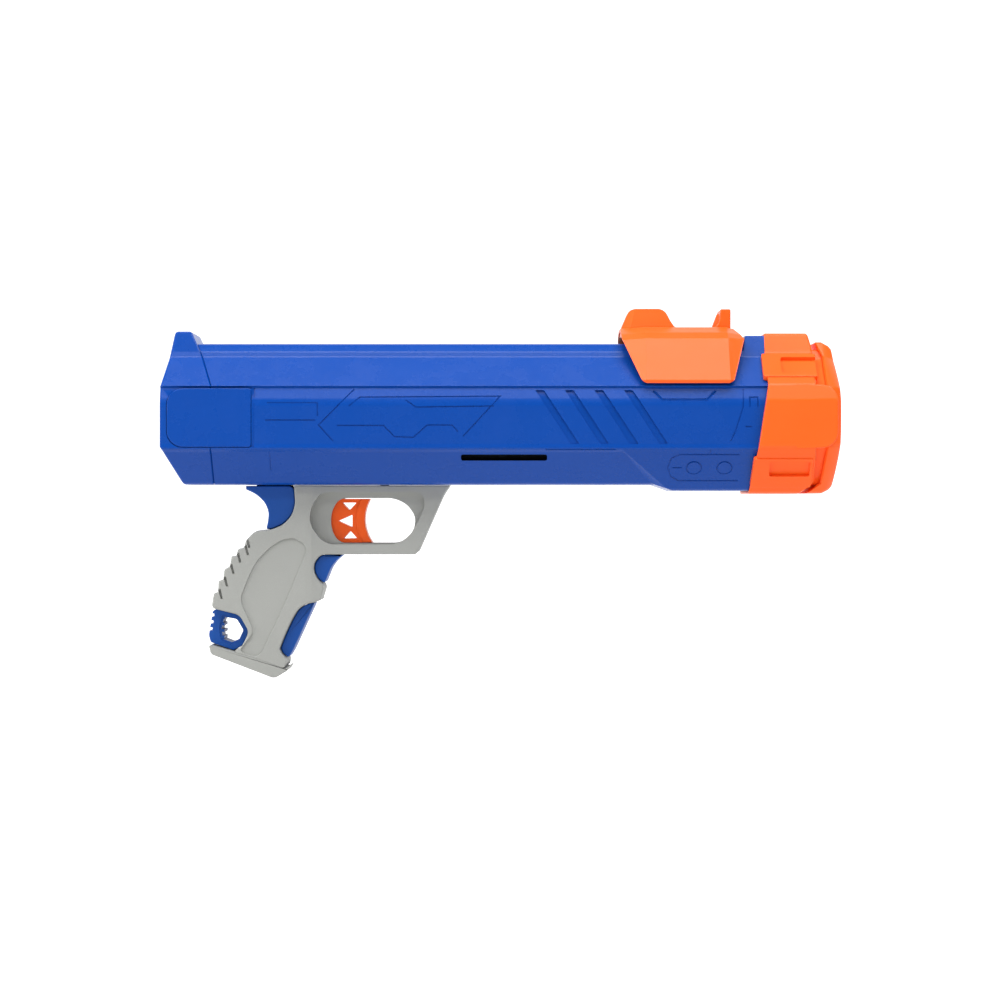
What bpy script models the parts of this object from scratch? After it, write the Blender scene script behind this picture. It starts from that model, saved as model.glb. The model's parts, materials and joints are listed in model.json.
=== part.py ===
"""A hand-held, spring-driven launcher for a dog's tennis balls.

Metres, +X towards the muzzle, +Z up. The origin is on the barrel's axis, in the
middle of the flat face at the back. The right-hand side of the launcher is -Y.
"""

import math

import bmesh
import bpy
from mathutils import Matrix, Vector

MM = 0.001

# Clearances
GAP = 0.3 * MM
SLIDE_GAP = 0.6 * MM
OVERRUN = 3.0 * MM

# Barrel, bored for a ball of about 64 mm
BARREL_BORE = 34.0 * MM
BARREL_WALL = 2.0 * MM
BARREL_OUTER = BARREL_BORE + BARREL_WALL
BARREL_SIDES = 40
BARREL_TAIL = 8.0 * MM
BARREL_SLOT_GAP = 0.9 * MM
PLATE_THICKNESS = 4.0 * MM
BALL_ROOM = 58.3 * MM

# Priming stroke
STROKE = 150.0 * MM

# The body's eight-sided section, measured from the barrel's axis
SHELL_WALL = 2.5 * MM
BODY_TOP_ROOM = 3.7 * MM
BODY_BOTTOM_ROOM = 3.9 * MM
BODY_SIDE_ROOM = 5.5 * MM
BODY_TOP = BARREL_OUTER + BODY_TOP_ROOM + SHELL_WALL
BODY_BOTTOM = BARREL_OUTER + BODY_BOTTOM_ROOM + SHELL_WALL
BODY_HALF_WIDTH = BARREL_OUTER + BODY_SIDE_ROOM + SHELL_WALL
BODY_TOP_HALF = 18.0 * MM
SHOULDER_STEP = 5.5 * MM
SHOULDER_HALF = BODY_TOP_HALF + SHOULDER_STEP
BODY_BOTTOM_HALF = 24.0 * MM
RIDGE_TOP = 15.4 * MM
RIDGE_BOTTOM = 21.2 * MM
TOP_RADIUS = 7.0 * MM
RIDGE_RADIUS = 3.2 * MM
BOTTOM_RADIUS = 5.0 * MM
TIGHTEST_RADIUS = 0.6 * MM
CORNER_STEPS = 3

# Rear cap, with its raised collar
CAP_SPLIT = 30.3 * MM
CAP_SEAM = 0.6 * MM
CAP_SPLIT_SLOPE = 0.46
CAP_CROWN = 7.2 * MM
CAP_CROWN_SHARES = [(0.0, 0.22), (0.15, 0.42), (0.32, 0.66), (0.64, 0.86), (1.0, 1.0)]
CAP_RAKE = 0.05
CAP_SKIRT_LENGTH = 9.7 * MM
CAP_SKIRT_FRONT = CAP_SPLIT + CAP_SKIRT_LENGTH
CAP_SKIRT_WALL = 2.2 * MM
CAP_REAR_WALL = 7.0 * MM
CAP_HOLLOW_SHARE = 0.78
CAP_HOLLOW_TAPER = 6.0 * MM
REAR_COLLAR_RISE = 7.2 * MM
REAR_COLLAR_TOP = BODY_TOP + REAR_COLLAR_RISE
REAR_COLLAR_STEP = 2.5 * MM
REAR_COLLAR_HALF = BODY_TOP_HALF + REAR_COLLAR_STEP
COLLAR_RADIUS = 1.5 * MM

# Bare plates on the sides
PLATE_REAR = 7.6 * MM
PLATE_LENGTH = 48.2 * MM
PLATE_FRONT = PLATE_REAR + PLATE_LENGTH
PLATE_MARGIN = 0.8 * MM
PLATE_TOP = RIDGE_TOP - PLATE_MARGIN
PLATE_BOTTOM = -RIDGE_BOTTOM + PLATE_MARGIN
PLATE_DEPTH = 1.2 * MM
PLATE_REAR_RADIUS = 10.0 * MM
PLATE_FRONT_RADIUS = 2.0 * MM

# Grip: outlines are shares of its reach (X) and its drop (Z) from a datum corner
BULKHEAD_REAR = CAP_SKIRT_FRONT + GAP
GRIP_SETBACK = 17.3 * MM
GRIP_REAR = BULKHEAD_REAR + PLATE_THICKNESS - GRIP_SETBACK
GRIP_DATUM_DROP = 1.2 * MM
GRIP_DATUM = -BODY_BOTTOM - GAP - GRIP_DATUM_DROP
GRIP_REACH = 144.0 * MM
GRIP_DROP = 115.0 * MM
GRIP_TOP_SHARE = -GRIP_DATUM_DROP / GRIP_DROP
GRIP_EDGE = 3.0 * MM
GRIP_WALL = 2.4 * MM
GRIP_BLEND_SHARES = (0.396, 0.535)
UPPER_SEAT_SHARES = [(0.459, 0.351), (0.432, 0.393), (0.429, 0.435), (0.444, 0.479)]
LOWER_SEAT_SHARES = [
    (0.437, 0.599), (0.396, 0.609), (0.364, 0.638), (0.336, 0.699), (0.304, 0.789),
    (0.288, 0.843), (0.296, 0.867),
]
BASE_SEAT_SHARES = [(0.312, 0.945), (0.2, 0.895), (0.095, 0.856)]
LOOP_SEAT_SHARES = [(0.131, 0.831), (0.161, 0.754), (0.121, 0.666), (0.004, 0.630)]
TANG_SEAT_SHARES = [
    (0.228, 0.222), (0.256, 0.220), (0.304, 0.195), (0.340, 0.145), (0.354, 0.086),
    (0.348, GRIP_TOP_SHARE),
]
TOOTH_SHARES = [
    (0.014, 0.554), (0.032, 0.544), (0.034, 0.489), (0.054, 0.479), (0.058, 0.427),
    (0.081, 0.414), (0.088, 0.360), (0.109, 0.355), (0.115, 0.320), (0.141, 0.315),
    (0.147, 0.278), (0.175, 0.240), (0.198, 0.224),
]
GRIP_SHARES = (
    [(0.999, GRIP_TOP_SHARE), (0.972, 0.039), (0.868, 0.333), (0.851, 0.351)]
    + UPPER_SEAT_SHARES + [(0.475, 0.516), (0.457, 0.590)] + LOWER_SEAT_SHARES
    + [(0.319, 0.899)] + BASE_SEAT_SHARES + LOOP_SEAT_SHARES + TOOTH_SHARES + TANG_SEAT_SHARES
)
TANG_REAR_SHARES = [
    (0.217, GRIP_TOP_SHARE), (0.145, 0.003), (0.192, 0.036), (0.225, 0.081), (0.239, 0.130),
    (0.236, 0.175),
]
TANG_HALF = 14.0 * MM
SPINE_HALF = 6.5 * MM
SPINE_SHARES = [
    (0.255, 0.10), (0.320, 0.10), (0.320, 0.26), (0.300, 0.42), (0.225, 0.62), (0.125, 0.60),
    (0.170, 0.42), (0.235, 0.26),
]
NECK_HALF = 8.0 * MM
NECK_SHARES = (0.1875, 0.3333)
NECK_REAR = GRIP_REAR + GRIP_REACH * NECK_SHARES[0]
NECK_FRONT = GRIP_REAR + GRIP_REACH * NECK_SHARES[1]
FLANGE_OVERHANG = 5.5 * MM
FLANGE_HALF = 14.0 * MM
FLANGE_THICKNESS = 3.0 * MM
HOLLOW_SHARES = [
    (0.335, 0.080), (0.350, 0.26), (0.350, 0.38), (0.360, 0.47), (0.345, 0.60), (0.285, 0.74),
    (0.24, 0.74), (0.19, 0.70), (0.105, 0.625), (0.075, 0.60), (0.115, 0.45), (0.165, 0.34),
    (0.218, 0.262), (0.235, 0.200), (0.245, 0.080),
]
POCKET_SHARES = [
    (0.487, 0.025), (0.873, 0.025), (0.892, 0.065), (0.892, 0.100), (0.857, 0.204),
    (0.790, 0.298), (0.475, 0.298), (0.422, 0.211), (0.412, 0.159), (0.424, 0.091), (0.456, 0.036),
]
FINGER_SHARES = [
    (0.546, 0.056), (0.765, 0.056), (0.820, 0.090), (0.848, 0.143), (0.853, 0.175),
    (0.845, 0.229), (0.793, 0.291), (0.546, 0.291), (0.512, 0.221), (0.512, 0.128),
]
INSERT_HALF = 12.0 * MM
INSERT_EDGE = 2.0 * MM
UPPER_INSERT_SHARES = UPPER_SEAT_SHARES + [
    (0.475, 0.506), (0.503, 0.419), (0.527, 0.380), (0.555, 0.351),
]
LOWER_INSERT_SHARES = LOWER_SEAT_SHARES + [(0.324, 0.896), (0.345, 0.850)]
LOOP_HALF = 10.0 * MM
LOOP_SHARES = LOOP_SEAT_SHARES + [(-0.014, 0.774), (-0.006, 0.812), (0.095, 0.856)]
LOOP_HOLE_SHARES = [
    (0.052, 0.678), (0.105, 0.690), (0.133, 0.748), (0.115, 0.796), (0.085, 0.812),
    (0.048, 0.794), (0.040, 0.742),
]
BASE_SHARES = BASE_SEAT_SHARES + [
    (-0.008, 0.820), (0.002, 0.871), (0.267, 0.998), (0.320, 0.958), (0.332, 0.928),
]

# Height of the sear, whose foot hangs over the trigger's shelf
SEAR_DROP = 4.5 * MM
SEAR_Z = -BODY_BOTTOM - SEAR_DROP
SEAR_NOSE_RISE = 10.2 * MM
SEAR_FOOT_SHARE = 0.62
SEAR_FOOT_GAP = 0.34842 * MM

# Trigger, which hangs below the sear's foot and fills its share of the grip's finger hole
TRIGGER_HALF = 7.4 * MM
TRIGGER_TRAVEL = 8.0 * MM
TRIGGER_REAR_SHARE = 0.4514
TRIGGER_LENGTH_SHARE = 0.2292
TRIGGER_HEIGHT_SHARE = 0.2296
TRIGGER_REAR = GRIP_REAR + GRIP_REACH * TRIGGER_REAR_SHARE
TRIGGER_LENGTH = GRIP_REACH * TRIGGER_LENGTH_SHARE
TRIGGER_SHELF = SEAR_Z - SEAR_NOSE_RISE * SEAR_FOOT_SHARE - SEAR_FOOT_GAP
TRIGGER_SHELF_STEP = 2.77242 * MM
TRIGGER_TOP = TRIGGER_SHELF + TRIGGER_SHELF_STEP
TRIGGER_HEIGHT = GRIP_DROP * TRIGGER_HEIGHT_SHARE
TRIGGER_SHELF_SHARE = TRIGGER_SHELF_STEP / TRIGGER_HEIGHT
TRIGGER_SHARES = [
    (0.0, TRIGGER_SHELF_SHARE), (0.13, TRIGGER_SHELF_SHARE), (0.32, 0.0), (0.955, 0.0), (0.885, 0.22), (0.855, 0.42),
    (0.855, 0.60), (0.90, 0.80), (1.0, 1.0), (0.0, 1.0),
]
TRIGGER_HOLE_SHARES = [
    [(0.40, 0.09), (0.67, 0.09), (0.54, 0.26)],
    [(0.33, 0.50), (0.60, 0.35), (0.60, 0.65)],
    [(0.42, 0.91), (0.68, 0.91), (0.56, 0.75)],
]
TRIGGER_BORE_SHARE = 0.576
TRIGGER_SPRING_HEIGHT = TRIGGER_TOP - TRIGGER_HEIGHT * TRIGGER_BORE_SHARE
TRIGGER_SPRING_RADIUS = 2.8 * MM
TRIGGER_SPRING_WIRE = 0.45 * MM
TRIGGER_SPRING_TURNS = 7
TRIGGER_BORE_RADIUS = TRIGGER_SPRING_RADIUS + TRIGGER_SPRING_WIRE + SLIDE_GAP
TRIGGER_BORE_DEPTH = 6.0 * MM
TRIGGER_BAY_ROOM = 10.0 * MM
TRIGGER_BAY_REAR = TRIGGER_REAR - TRIGGER_TRAVEL - TRIGGER_BAY_ROOM
TRIGGER_BAY_LENGTH = 36.0 * MM
TRIGGER_BAY_FRONT = TRIGGER_BAY_REAR + TRIGGER_BAY_LENGTH
BAY_HALF = TRIGGER_HALF + SLIDE_GAP
BAY_BOTTOM = TRIGGER_TOP - TRIGGER_HEIGHT - GAP
POCKET_FLOOR = BAY_HALF + GRIP_WALL
POCKET_DEPTH = 3.1 * MM
GUARD_HALF = POCKET_FLOOR + POCKET_DEPTH
GRIP_SWELL = 4.0 * MM
GRIP_HALF = GUARD_HALF + GRIP_SWELL
GRIP_BLEND_REAR = GRIP_REAR + GRIP_REACH * GRIP_BLEND_SHARES[0]
GRIP_BLEND_FRONT = GRIP_REAR + GRIP_REACH * GRIP_BLEND_SHARES[1]

# Sear
SEAR_SETBACK = 20.0 * MM
SEAR_X = TRIGGER_REAR + SEAR_SETBACK
SEAR_HALF = 2.5 * MM
SEAR_PIN_RADIUS = 1.25 * MM
SEAR_HOLE_RADIUS = SEAR_PIN_RADIUS + GAP
SEAR_PIN_HALF = 10.0 * MM
SEAR_REACH = 21.5 * MM
SEAR_CATCH_SHARE = 0.76
SEAR_SHARES = [
    (-0.95, -0.36), (-0.95, -SEAR_FOOT_SHARE), (-0.77, -SEAR_FOOT_SHARE), (-0.47, -0.21), (0.05, -0.20),
    (SEAR_CATCH_SHARE, 0.15), (1.0, 0.30), (1.0, 0.80), (0.93, 1.0), (SEAR_CATCH_SHARE, 1.0),
    (SEAR_CATCH_SHARE, 0.42), (0.10, 0.27), (-0.12, 0.27), (-0.45, 0.05), (-0.66, -0.20),
    (-0.80, -0.36),
]
SEAR_CATCH_GAP = 0.34 * MM
SEAR_BAY_MARGIN = 4.5 * MM
SEAR_BAY_REAR = SEAR_X - SEAR_REACH - SEAR_BAY_MARGIN / 2
SEAR_BAY_FRONT = SEAR_X + SEAR_REACH + SEAR_BAY_MARGIN
SEAR_BAY_DEPTH = 2.6 * MM
SEAR_BAY_BOTTOM = SEAR_Z - SEAR_BAY_DEPTH
SEAR_OPENING_SHARE = 0.37
SEAR_OPENING_REAR = SEAR_X + SEAR_REACH * SEAR_OPENING_SHARE
SEAR_OPENING_SIDE_GAP = 1.5 * MM
SEAR_OPENING_HALF = SEAR_HALF + SEAR_OPENING_SIDE_GAP
SEAR_SPRING_SHARE = 0.888
SEAR_SPRING_X = SEAR_X - SEAR_REACH * SEAR_SPRING_SHARE
SEAR_SPRING_RADIUS = 1.5 * MM
SEAR_SPRING_WIRE = 0.3 * MM
SEAR_SPRING_TURNS = 5

# Plunger, placed so that its lug stops at the sear when it is primed
LUG_LENGTH = 8.0 * MM
LUG_REAR = SEAR_X + SEAR_REACH * SEAR_CATCH_SHARE - SEAR_CATCH_GAP - LUG_LENGTH + STROKE
LUG_GAP = 0.7 * MM
LUG_BOTTOM = BODY_BOTTOM - SHELL_WALL - LUG_GAP
LUG_RAMP = 4.0 * MM
TONGUE_TAIL = 2.0 * MM
TONGUE_REAR = LUG_REAR - TONGUE_TAIL
TONGUE_HALF = 8.0 * MM
TONGUE_GAP = 2.0 * MM
TONGUE_BOTTOM = BARREL_BORE - TONGUE_GAP
TONGUE_THICKNESS = 4.0 * MM
PLUNGER_REACH = 53.0 * MM
PLUNGER_FRONT = LUG_REAR + PLUNGER_REACH
PLUNGER_GAP = 0.7 * MM
PLUNGER_RADIUS = BARREL_BORE - PLUNGER_GAP
PLUNGER_WALL = 2.2 * MM
PLUNGER_LENGTH = 35.0 * MM
PLUNGER_END = 4.0 * MM
PLUNGER_BOSS_RADIUS = 6.0 * MM
PLUNGER_BOSS_LENGTH = 8.0 * MM
PAD_MARGIN = 3.3 * MM
PAD_RADIUS = PLUNGER_RADIUS - PAD_MARGIN
PAD_THICKNESS = 6.0 * MM
FIN_SETBACK = 2.0 * MM
FIN_REAR = PLUNGER_FRONT - PLUNGER_LENGTH + FIN_SETBACK
FIN_LENGTH = 13.0 * MM
FIN_FRONT = FIN_REAR + FIN_LENGTH
FIN_HALF = 2.7 * MM
LUG_HALF = FIN_HALF
BARREL_REAR = LUG_REAR - STROKE - BARREL_TAIL
BARREL_FRONT = PLUNGER_FRONT + GAP + PAD_THICKNESS + BALL_ROOM
BARREL_SLOT_HALF = FIN_HALF + BARREL_SLOT_GAP

# Main spring and its guide
SPRING_RADIUS = 10.4 * MM
SPRING_WIRE = 1.1 * MM
SPRING_TURNS = 22
SPRING_STEPS = 8
GUIDE_GAP = 2.8 * MM
GUIDE_RADIUS = SPRING_RADIUS - SPRING_WIRE - GUIDE_GAP
GUIDE_END_GAP = 1.0 * MM
GUIDE_FRONT = PLUNGER_FRONT - STROKE - PLUNGER_END - PLUNGER_BOSS_LENGTH - GUIDE_END_GAP
GUIDE_NOSE = 3.0 * MM
GUIDE_FLANGE = 2.5 * MM
SPRING_HOLE_GAP = 3.5 * MM
SPRING_HOLE_RADIUS = SPRING_RADIUS + SPRING_WIRE + SPRING_HOLE_GAP

# Carriage under the top slot
CARRIAGE_GAP = 0.5 * MM
CARRIAGE_REAR = FIN_FRONT + GAP
CARRIAGE_HALF = 8.0 * MM
CARRIAGE_BOTTOM = BARREL_OUTER + CARRIAGE_GAP
CARRIAGE_TOP = BODY_TOP - SHELL_WALL - CARRIAGE_GAP
FIN_GAP = 0.4 * MM
FIN_TOP = CARRIAGE_TOP - FIN_GAP
HOOK_LENGTH = 6.0 * MM
HOOK_DROP = 2.0 * MM
HOOK_BOTTOM = CARRIAGE_BOTTOM - HOOK_DROP

# Priming handle, a saddle over the body's top
HANDLE_STEM_SETBACK = 4.7 * MM
HANDLE_STEM_REAR = CARRIAGE_REAR + HANDLE_STEM_SETBACK
HANDLE_STEM_LENGTH = 28.0 * MM
HANDLE_STEM_FRONT = HANDLE_STEM_REAR + HANDLE_STEM_LENGTH
HANDLE_STEM_HALF = 3.4 * MM
HANDLE_SLOT_HALF = HANDLE_STEM_HALF + SLIDE_GAP
CARRIAGE_NOSE = 4.0 * MM
CARRIAGE_FRONT = HANDLE_STEM_FRONT + CARRIAGE_NOSE
HANDLE_TAIL = 21.0 * MM
HANDLE_REAR = HANDLE_STEM_REAR - HANDLE_TAIL
HANDLE_LENGTH = 49.7 * MM
HANDLE_FRONT = HANDLE_REAR + HANDLE_LENGTH
HANDLE_SKIRT_RISE = 2.0 * MM
HANDLE_SKIRT_BOTTOM = RIDGE_TOP + HANDLE_SKIRT_RISE
HANDLE_WALL = 3.4 * MM
HANDLE_DECK_RISE = 10.1 * MM
HANDLE_DECK = BODY_TOP + HANDLE_DECK_RISE
HANDLE_DECK_HALF = 17.0 * MM
HANDLE_DECK_RADIUS = 2.5 * MM
HANDLE_SHOULDER_STEP = 5.4 * MM
HANDLE_SHOULDER_HALF = HANDLE_DECK_HALF + HANDLE_SHOULDER_STEP
HANDLE_SHOULDER_DROP = 7.3 * MM
HANDLE_SHOULDER = HANDLE_DECK - HANDLE_SHOULDER_DROP
HANDLE_END_WALL = 1.2 * MM
HANDLE_REAR_FLARE = 13.7 * MM
HANDLE_TOP_REAR = HANDLE_REAR - HANDLE_REAR_FLARE
HANDLE_FRONT_FLARE = 8.9 * MM
HANDLE_TOP_FRONT = HANDLE_FRONT + HANDLE_FRONT_FLARE
HANDLE_FOOT_FLARE = 1.8 * MM
HANDLE_NOSE_SLOPE = 1.0
HANDLE_GRIP_HALF = 15.0 * MM
HANDLE_GRIP_EDGE = 1.2 * MM
HANDLE_GRIP_HEIGHT = 16.3 * MM
HANDLE_GRIP_LENGTH = 63.8 * MM
HANDLE_GRIP_SETBACK = 0.7 * MM
HANDLE_GRIP_REAR = HANDLE_TOP_REAR + HANDLE_GRIP_SETBACK
HANDLE_GRIP_SINK = 5.0 * MM
HANDLE_HUMP_SHARES = [
    (0.0, 0.0), (0.0, 0.31), (0.07, 0.94), (0.12, 1.0), (0.36, 1.0), (0.41, 0.88),
    (0.46, 0.55), (0.49, 0.37), (0.55, 0.20), (0.55, 0.0),
]
HANDLE_PRONG_SHARES = [(0.82, 0.0), (0.82, 0.20), (0.89, 0.46), (0.905, 1.0), (1.0, 1.0), (1.0, 0.0)]

# Muzzle ring, from its lip back
LIP_GAP = 0.2 * MM
LIP_RADIUS = BARREL_BORE + LIP_GAP
RETAINER_LENGTH = 4.0 * MM
LIP_REAR = BARREL_FRONT + RETAINER_LENGTH + 2 * GAP
LIP_LENGTH = 10.1 * MM
RING_FRONT = LIP_REAR + LIP_LENGTH
RING_LENGTH = 43.5 * MM
RING_REAR = RING_FRONT - RING_LENGTH
RING_REAR_SLOPE = 0.155
RIM_LENGTH = 17.8 * MM
RING_STEP = RING_FRONT - RIM_LENGTH
RING_STEP_LENGTH = 1.5 * MM
RIM_DEPTH = 6.3 * MM
RIM_CROWN = 4.5 * MM
RIM_INSET = 2.5 * MM
RING_PANEL_RISE = 4.0 * MM
RING_PANEL_ROOT = 0.6 * MM
CHEEK_SETBACK = 3.3 * MM
CHEEK_FRONT = RING_FRONT - CHEEK_SETBACK
CHEEK_RADIUS = 9.0 * MM
WINDOW_DEPTH = 2.0 * MM
UPPER_WINDOW_SETBACK = 8.7 * MM
UPPER_WINDOW_REAR = RING_REAR + UPPER_WINDOW_SETBACK
UPPER_WINDOW_LENGTH = 20.0 * MM
UPPER_WINDOW_HEIGHT = 14.9 * MM
LOWER_WINDOW_SETBACK = 1.4 * MM
LOWER_WINDOW_REAR = RING_REAR + LOWER_WINDOW_SETBACK
LOWER_WINDOW_LENGTH = 20.6 * MM
LOWER_WINDOW_HEIGHT = 12.2 * MM

# Raised collar at the body's front, and the fairing under it
SHELL_LAP = 2.2 * MM
SHELL_FRONT = RING_REAR + SHELL_LAP
FRONT_COLLAR_RISE = 4.7 * MM
FRONT_COLLAR_TOP = BODY_TOP + FRONT_COLLAR_RISE
FRONT_COLLAR_STEP = 2.0 * MM
FRONT_COLLAR_HALF = BODY_TOP_HALF + FRONT_COLLAR_STEP
FRONT_COLLAR_SETBACK = 2.6 * MM
FRONT_COLLAR_REAR = HANDLE_TOP_FRONT - FRONT_COLLAR_SETBACK
FRONT_COLLAR_SLOPE = 0.14
COLLAR_STEP = 0.8 * MM
FAIRING_RISE = 3.6 * MM
FAIRING_BOTTOM = BODY_BOTTOM + FAIRING_RISE
FAIRING_SPREAD = 2.0 * MM
FAIRING_BOTTOM_HALF = BODY_BOTTOM_HALF + FAIRING_SPREAD
FAIRING_LENGTH = 75.4 * MM
FAIRING_REAR = SHELL_FRONT - FAIRING_LENGTH
FAIRING_SLOPE = 0.75
FAIRING_STEP = 2.0 * MM

# The ring's section, a little larger than the collar's all round
RING_TOP_STEP = 1.4 * MM
RING_TOP = FRONT_COLLAR_TOP + RING_TOP_STEP
RING_TOP_HALF = FRONT_COLLAR_HALF
RING_SHOULDER_DROP = 5.7 * MM
RING_SHOULDER = BODY_TOP - RING_SHOULDER_DROP
RING_SHOULDER_STEP = 1.0 * MM
RING_SHOULDER_HALF = SHOULDER_HALF + RING_SHOULDER_STEP
RING_SIDE_STEP = 5.4 * MM
RING_HALF_WIDTH = BODY_HALF_WIDTH + RING_SIDE_STEP
RING_RIDGE_RISE = 1.2 * MM
RING_RIDGE_TOP = RIDGE_TOP + RING_RIDGE_RISE
RING_RIDGE_LIFT = 0.2 * MM
RING_RIDGE_BOTTOM = RIDGE_BOTTOM - RING_RIDGE_LIFT
RING_BOTTOM_STEP = 1.8 * MM
RING_BOTTOM = FAIRING_BOTTOM + RING_BOTTOM_STEP
RING_BOTTOM_SPREAD = 1.0 * MM
RING_BOTTOM_HALF = FAIRING_BOTTOM_HALF + RING_BOTTOM_SPREAD

# Grooves and slot in the sides
GROOVE_COUNT = 4
GROOVE_SETBACK = 139.4 * MM
GROOVE_FIRST = SHELL_FRONT - GROOVE_SETBACK
GROOVE_PITCH = 17.45 * MM
GROOVE_WIDTH = 5.1 * MM
GROOVE_LEAN = 20.8 * MM
GROOVE_TOP_MARGIN = 2.0 * MM
GROOVE_TOP = RIDGE_TOP - GROOVE_TOP_MARGIN
GROOVE_BOTTOM_MARGIN = 2.8 * MM
GROOVE_BOTTOM = -RIDGE_BOTTOM + GROOVE_BOTTOM_MARGIN
GROOVE_DEPTH = 1.2 * MM
VENT_SETBACK = 43.9 * MM
VENT_REAR = GROOVE_FIRST - VENT_SETBACK
VENT_LENGTH = 51.0 * MM
VENT_HEIGHT = 3.6 * MM
VENT_DROP = 3.4 * MM

# Ball retainer
RETAINER_EDGE_GAP = 0.2 * MM
RETAINER_OUTER = BARREL_OUTER - RETAINER_EDGE_GAP
RETAINER_GRIP = 2.2 * MM
RETAINER_INNER = BARREL_BORE - RETAINER_GRIP
RETAINER_SLITS = 12
RETAINER_SLIT_WIDTH = 1.6 * MM
RETAINER_RIM = 1.6 * MM
RETAINER_SLIT_ROOT = RETAINER_OUTER - RETAINER_RIM

# Screws
SCREW_HEAD_RADIUS = 2.8 * MM
SCREW_HEAD_HEIGHT = 2.2 * MM
SCREW_SHANK_RADIUS = 1.3 * MM
SCREW_HOLE_GAP = 0.4 * MM
SCREW_HOLE_RADIUS = SCREW_SHANK_RADIUS + SCREW_HOLE_GAP
SCREW_SINK_GAP = 0.5 * MM
SCREW_SINK_RADIUS = SCREW_HEAD_RADIUS + SCREW_SINK_GAP
SCREW_SIDES = 12
PAD_HOLE_GAP = 3.2 * MM
PAD_HOLE_RADIUS = SCREW_HEAD_RADIUS + PAD_HOLE_GAP
BODY_SCREW_MARGIN = 10.2 * MM
BODY_SCREW_BACKSET = 12.0 * MM
BODY_SCREW_X = (PLATE_FRONT + BODY_SCREW_MARGIN, BARREL_REAR - BODY_SCREW_BACKSET)
BODY_SCREW_Z = (24.0 * MM, -17.0 * MM)
BODY_SCREW_SEAT = 16.0 * MM
BODY_SCREW_LENGTH = 26.0 * MM
BOSS_WALL = 1.1 * MM
BOSS_RADIUS = SCREW_SINK_RADIUS + BOSS_WALL
GRIP_SCREW_SPOT_SHARES = [(0.924, 0.049), (0.842, 0.287), (0.400, 0.338), (0.215, 0.818)]
GRIP_SCREW_SINK = 5.0 * MM
GRIP_SCREW_LENGTH = 15.0 * MM
RING_SCREW_SETBACK = 12.2 * MM
RING_SCREW_X = RING_REAR + RING_SCREW_SETBACK
RING_SCREW_Z = (10.0 * MM, -14.0 * MM)
RING_SCREW_SINK = 7.4 * MM
RING_SCREW_SEAT = RING_HALF_WIDTH - RING_SCREW_SINK
RING_SCREW_END_GAP = 1.0 * MM
RING_SCREW_LENGTH = RING_SCREW_SEAT - BARREL_OUTER - RING_SCREW_END_GAP
CARRIAGE_SCREW_SETBACK = 5.5 * MM
CARRIAGE_SCREW_FIRST = HANDLE_STEM_REAR + CARRIAGE_SCREW_SETBACK
CARRIAGE_SCREW_PITCH = 10.0 * MM
CARRIAGE_SCREW_RISE = 3.8 * MM
CARRIAGE_SCREW_SEAT = BODY_TOP + CARRIAGE_SCREW_RISE
CARRIAGE_SCREW_END_GAP = 0.9 * MM
CARRIAGE_SCREW_LENGTH = CARRIAGE_SCREW_SEAT - CARRIAGE_BOTTOM - CARRIAGE_SCREW_END_GAP
PAD_SCREW_LENGTH = 9.0 * MM

COLOURS = {
    "blue_plastic": ((0.010, 0.055, 0.40), 0.28, 0.0),
    "insert_blue": ((0.010, 0.065, 0.36), 0.45, 0.0),
    "orange_plastic": ((1.0, 0.16, 0.015), 0.33, 0.0),
    "grey_plastic": ((0.41, 0.42, 0.39), 0.5, 0.0),
    "barrel_plastic": ((0.05, 0.055, 0.06), 0.45, 0.0),
    "dark_rubber": ((0.02, 0.02, 0.022), 0.8, 0.0),
    "nylon": ((0.70, 0.69, 0.64), 0.5, 0.0),
    "steel": ((0.56, 0.57, 0.58), 0.3, 1.0),
}


def material(name):
    """Make the named finish once and hand it out again after that."""
    found = bpy.data.materials.get(name)
    if found:
        return found
    colour, roughness, metallic = COLOURS[name]
    made = bpy.data.materials.new(name)
    made.use_nodes = True
    shader = made.node_tree.nodes["Principled BSDF"]
    shader.inputs["Base Color"].default_value = (*colour, 1.0)
    shader.inputs["Roughness"].default_value = roughness
    shader.inputs["Metallic"].default_value = metallic
    made.diffuse_color = (*colour, 1.0)
    return made


def add_object(name, bm, finish, smooth=False):
    """Close a bmesh into a named object with its faces pointing out."""
    bmesh.ops.recalc_face_normals(bm, faces=bm.faces)
    mesh = bpy.data.meshes.new(name)
    bm.to_mesh(mesh)
    bm.free()
    if smooth:
        mesh.shade_smooth()
        mesh.set_sharp_from_angle(angle=math.radians(35))
    obj = bpy.data.objects.new(name, mesh)
    bpy.context.scene.collection.objects.link(obj)
    if finish:
        obj.data.materials.append(material(finish))
    return obj


def loft(name, rings, finish=None, hollow=False):
    """Skin closed rings with equal point counts and cap both ends.

    A hollow ring runs along its outer line and back along its inner line.
    """
    bm = bmesh.new()
    rows = [[bm.verts.new(point) for point in ring] for ring in rings]
    count = len(rows[0])
    for low, high in zip(rows, rows[1:]):
        for i in range(count):
            j = (i + 1) % count
            bm.faces.new((low[i], low[j], high[j], high[i]))
    for row in (rows[0], rows[-1]):
        if hollow:
            for i in range(count // 2 - 1):
                bm.faces.new((row[i], row[i + 1], row[count - 2 - i], row[count - 1 - i]))
        else:
            bm.faces.new(row)
    return add_object(name, bm, finish)


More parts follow.
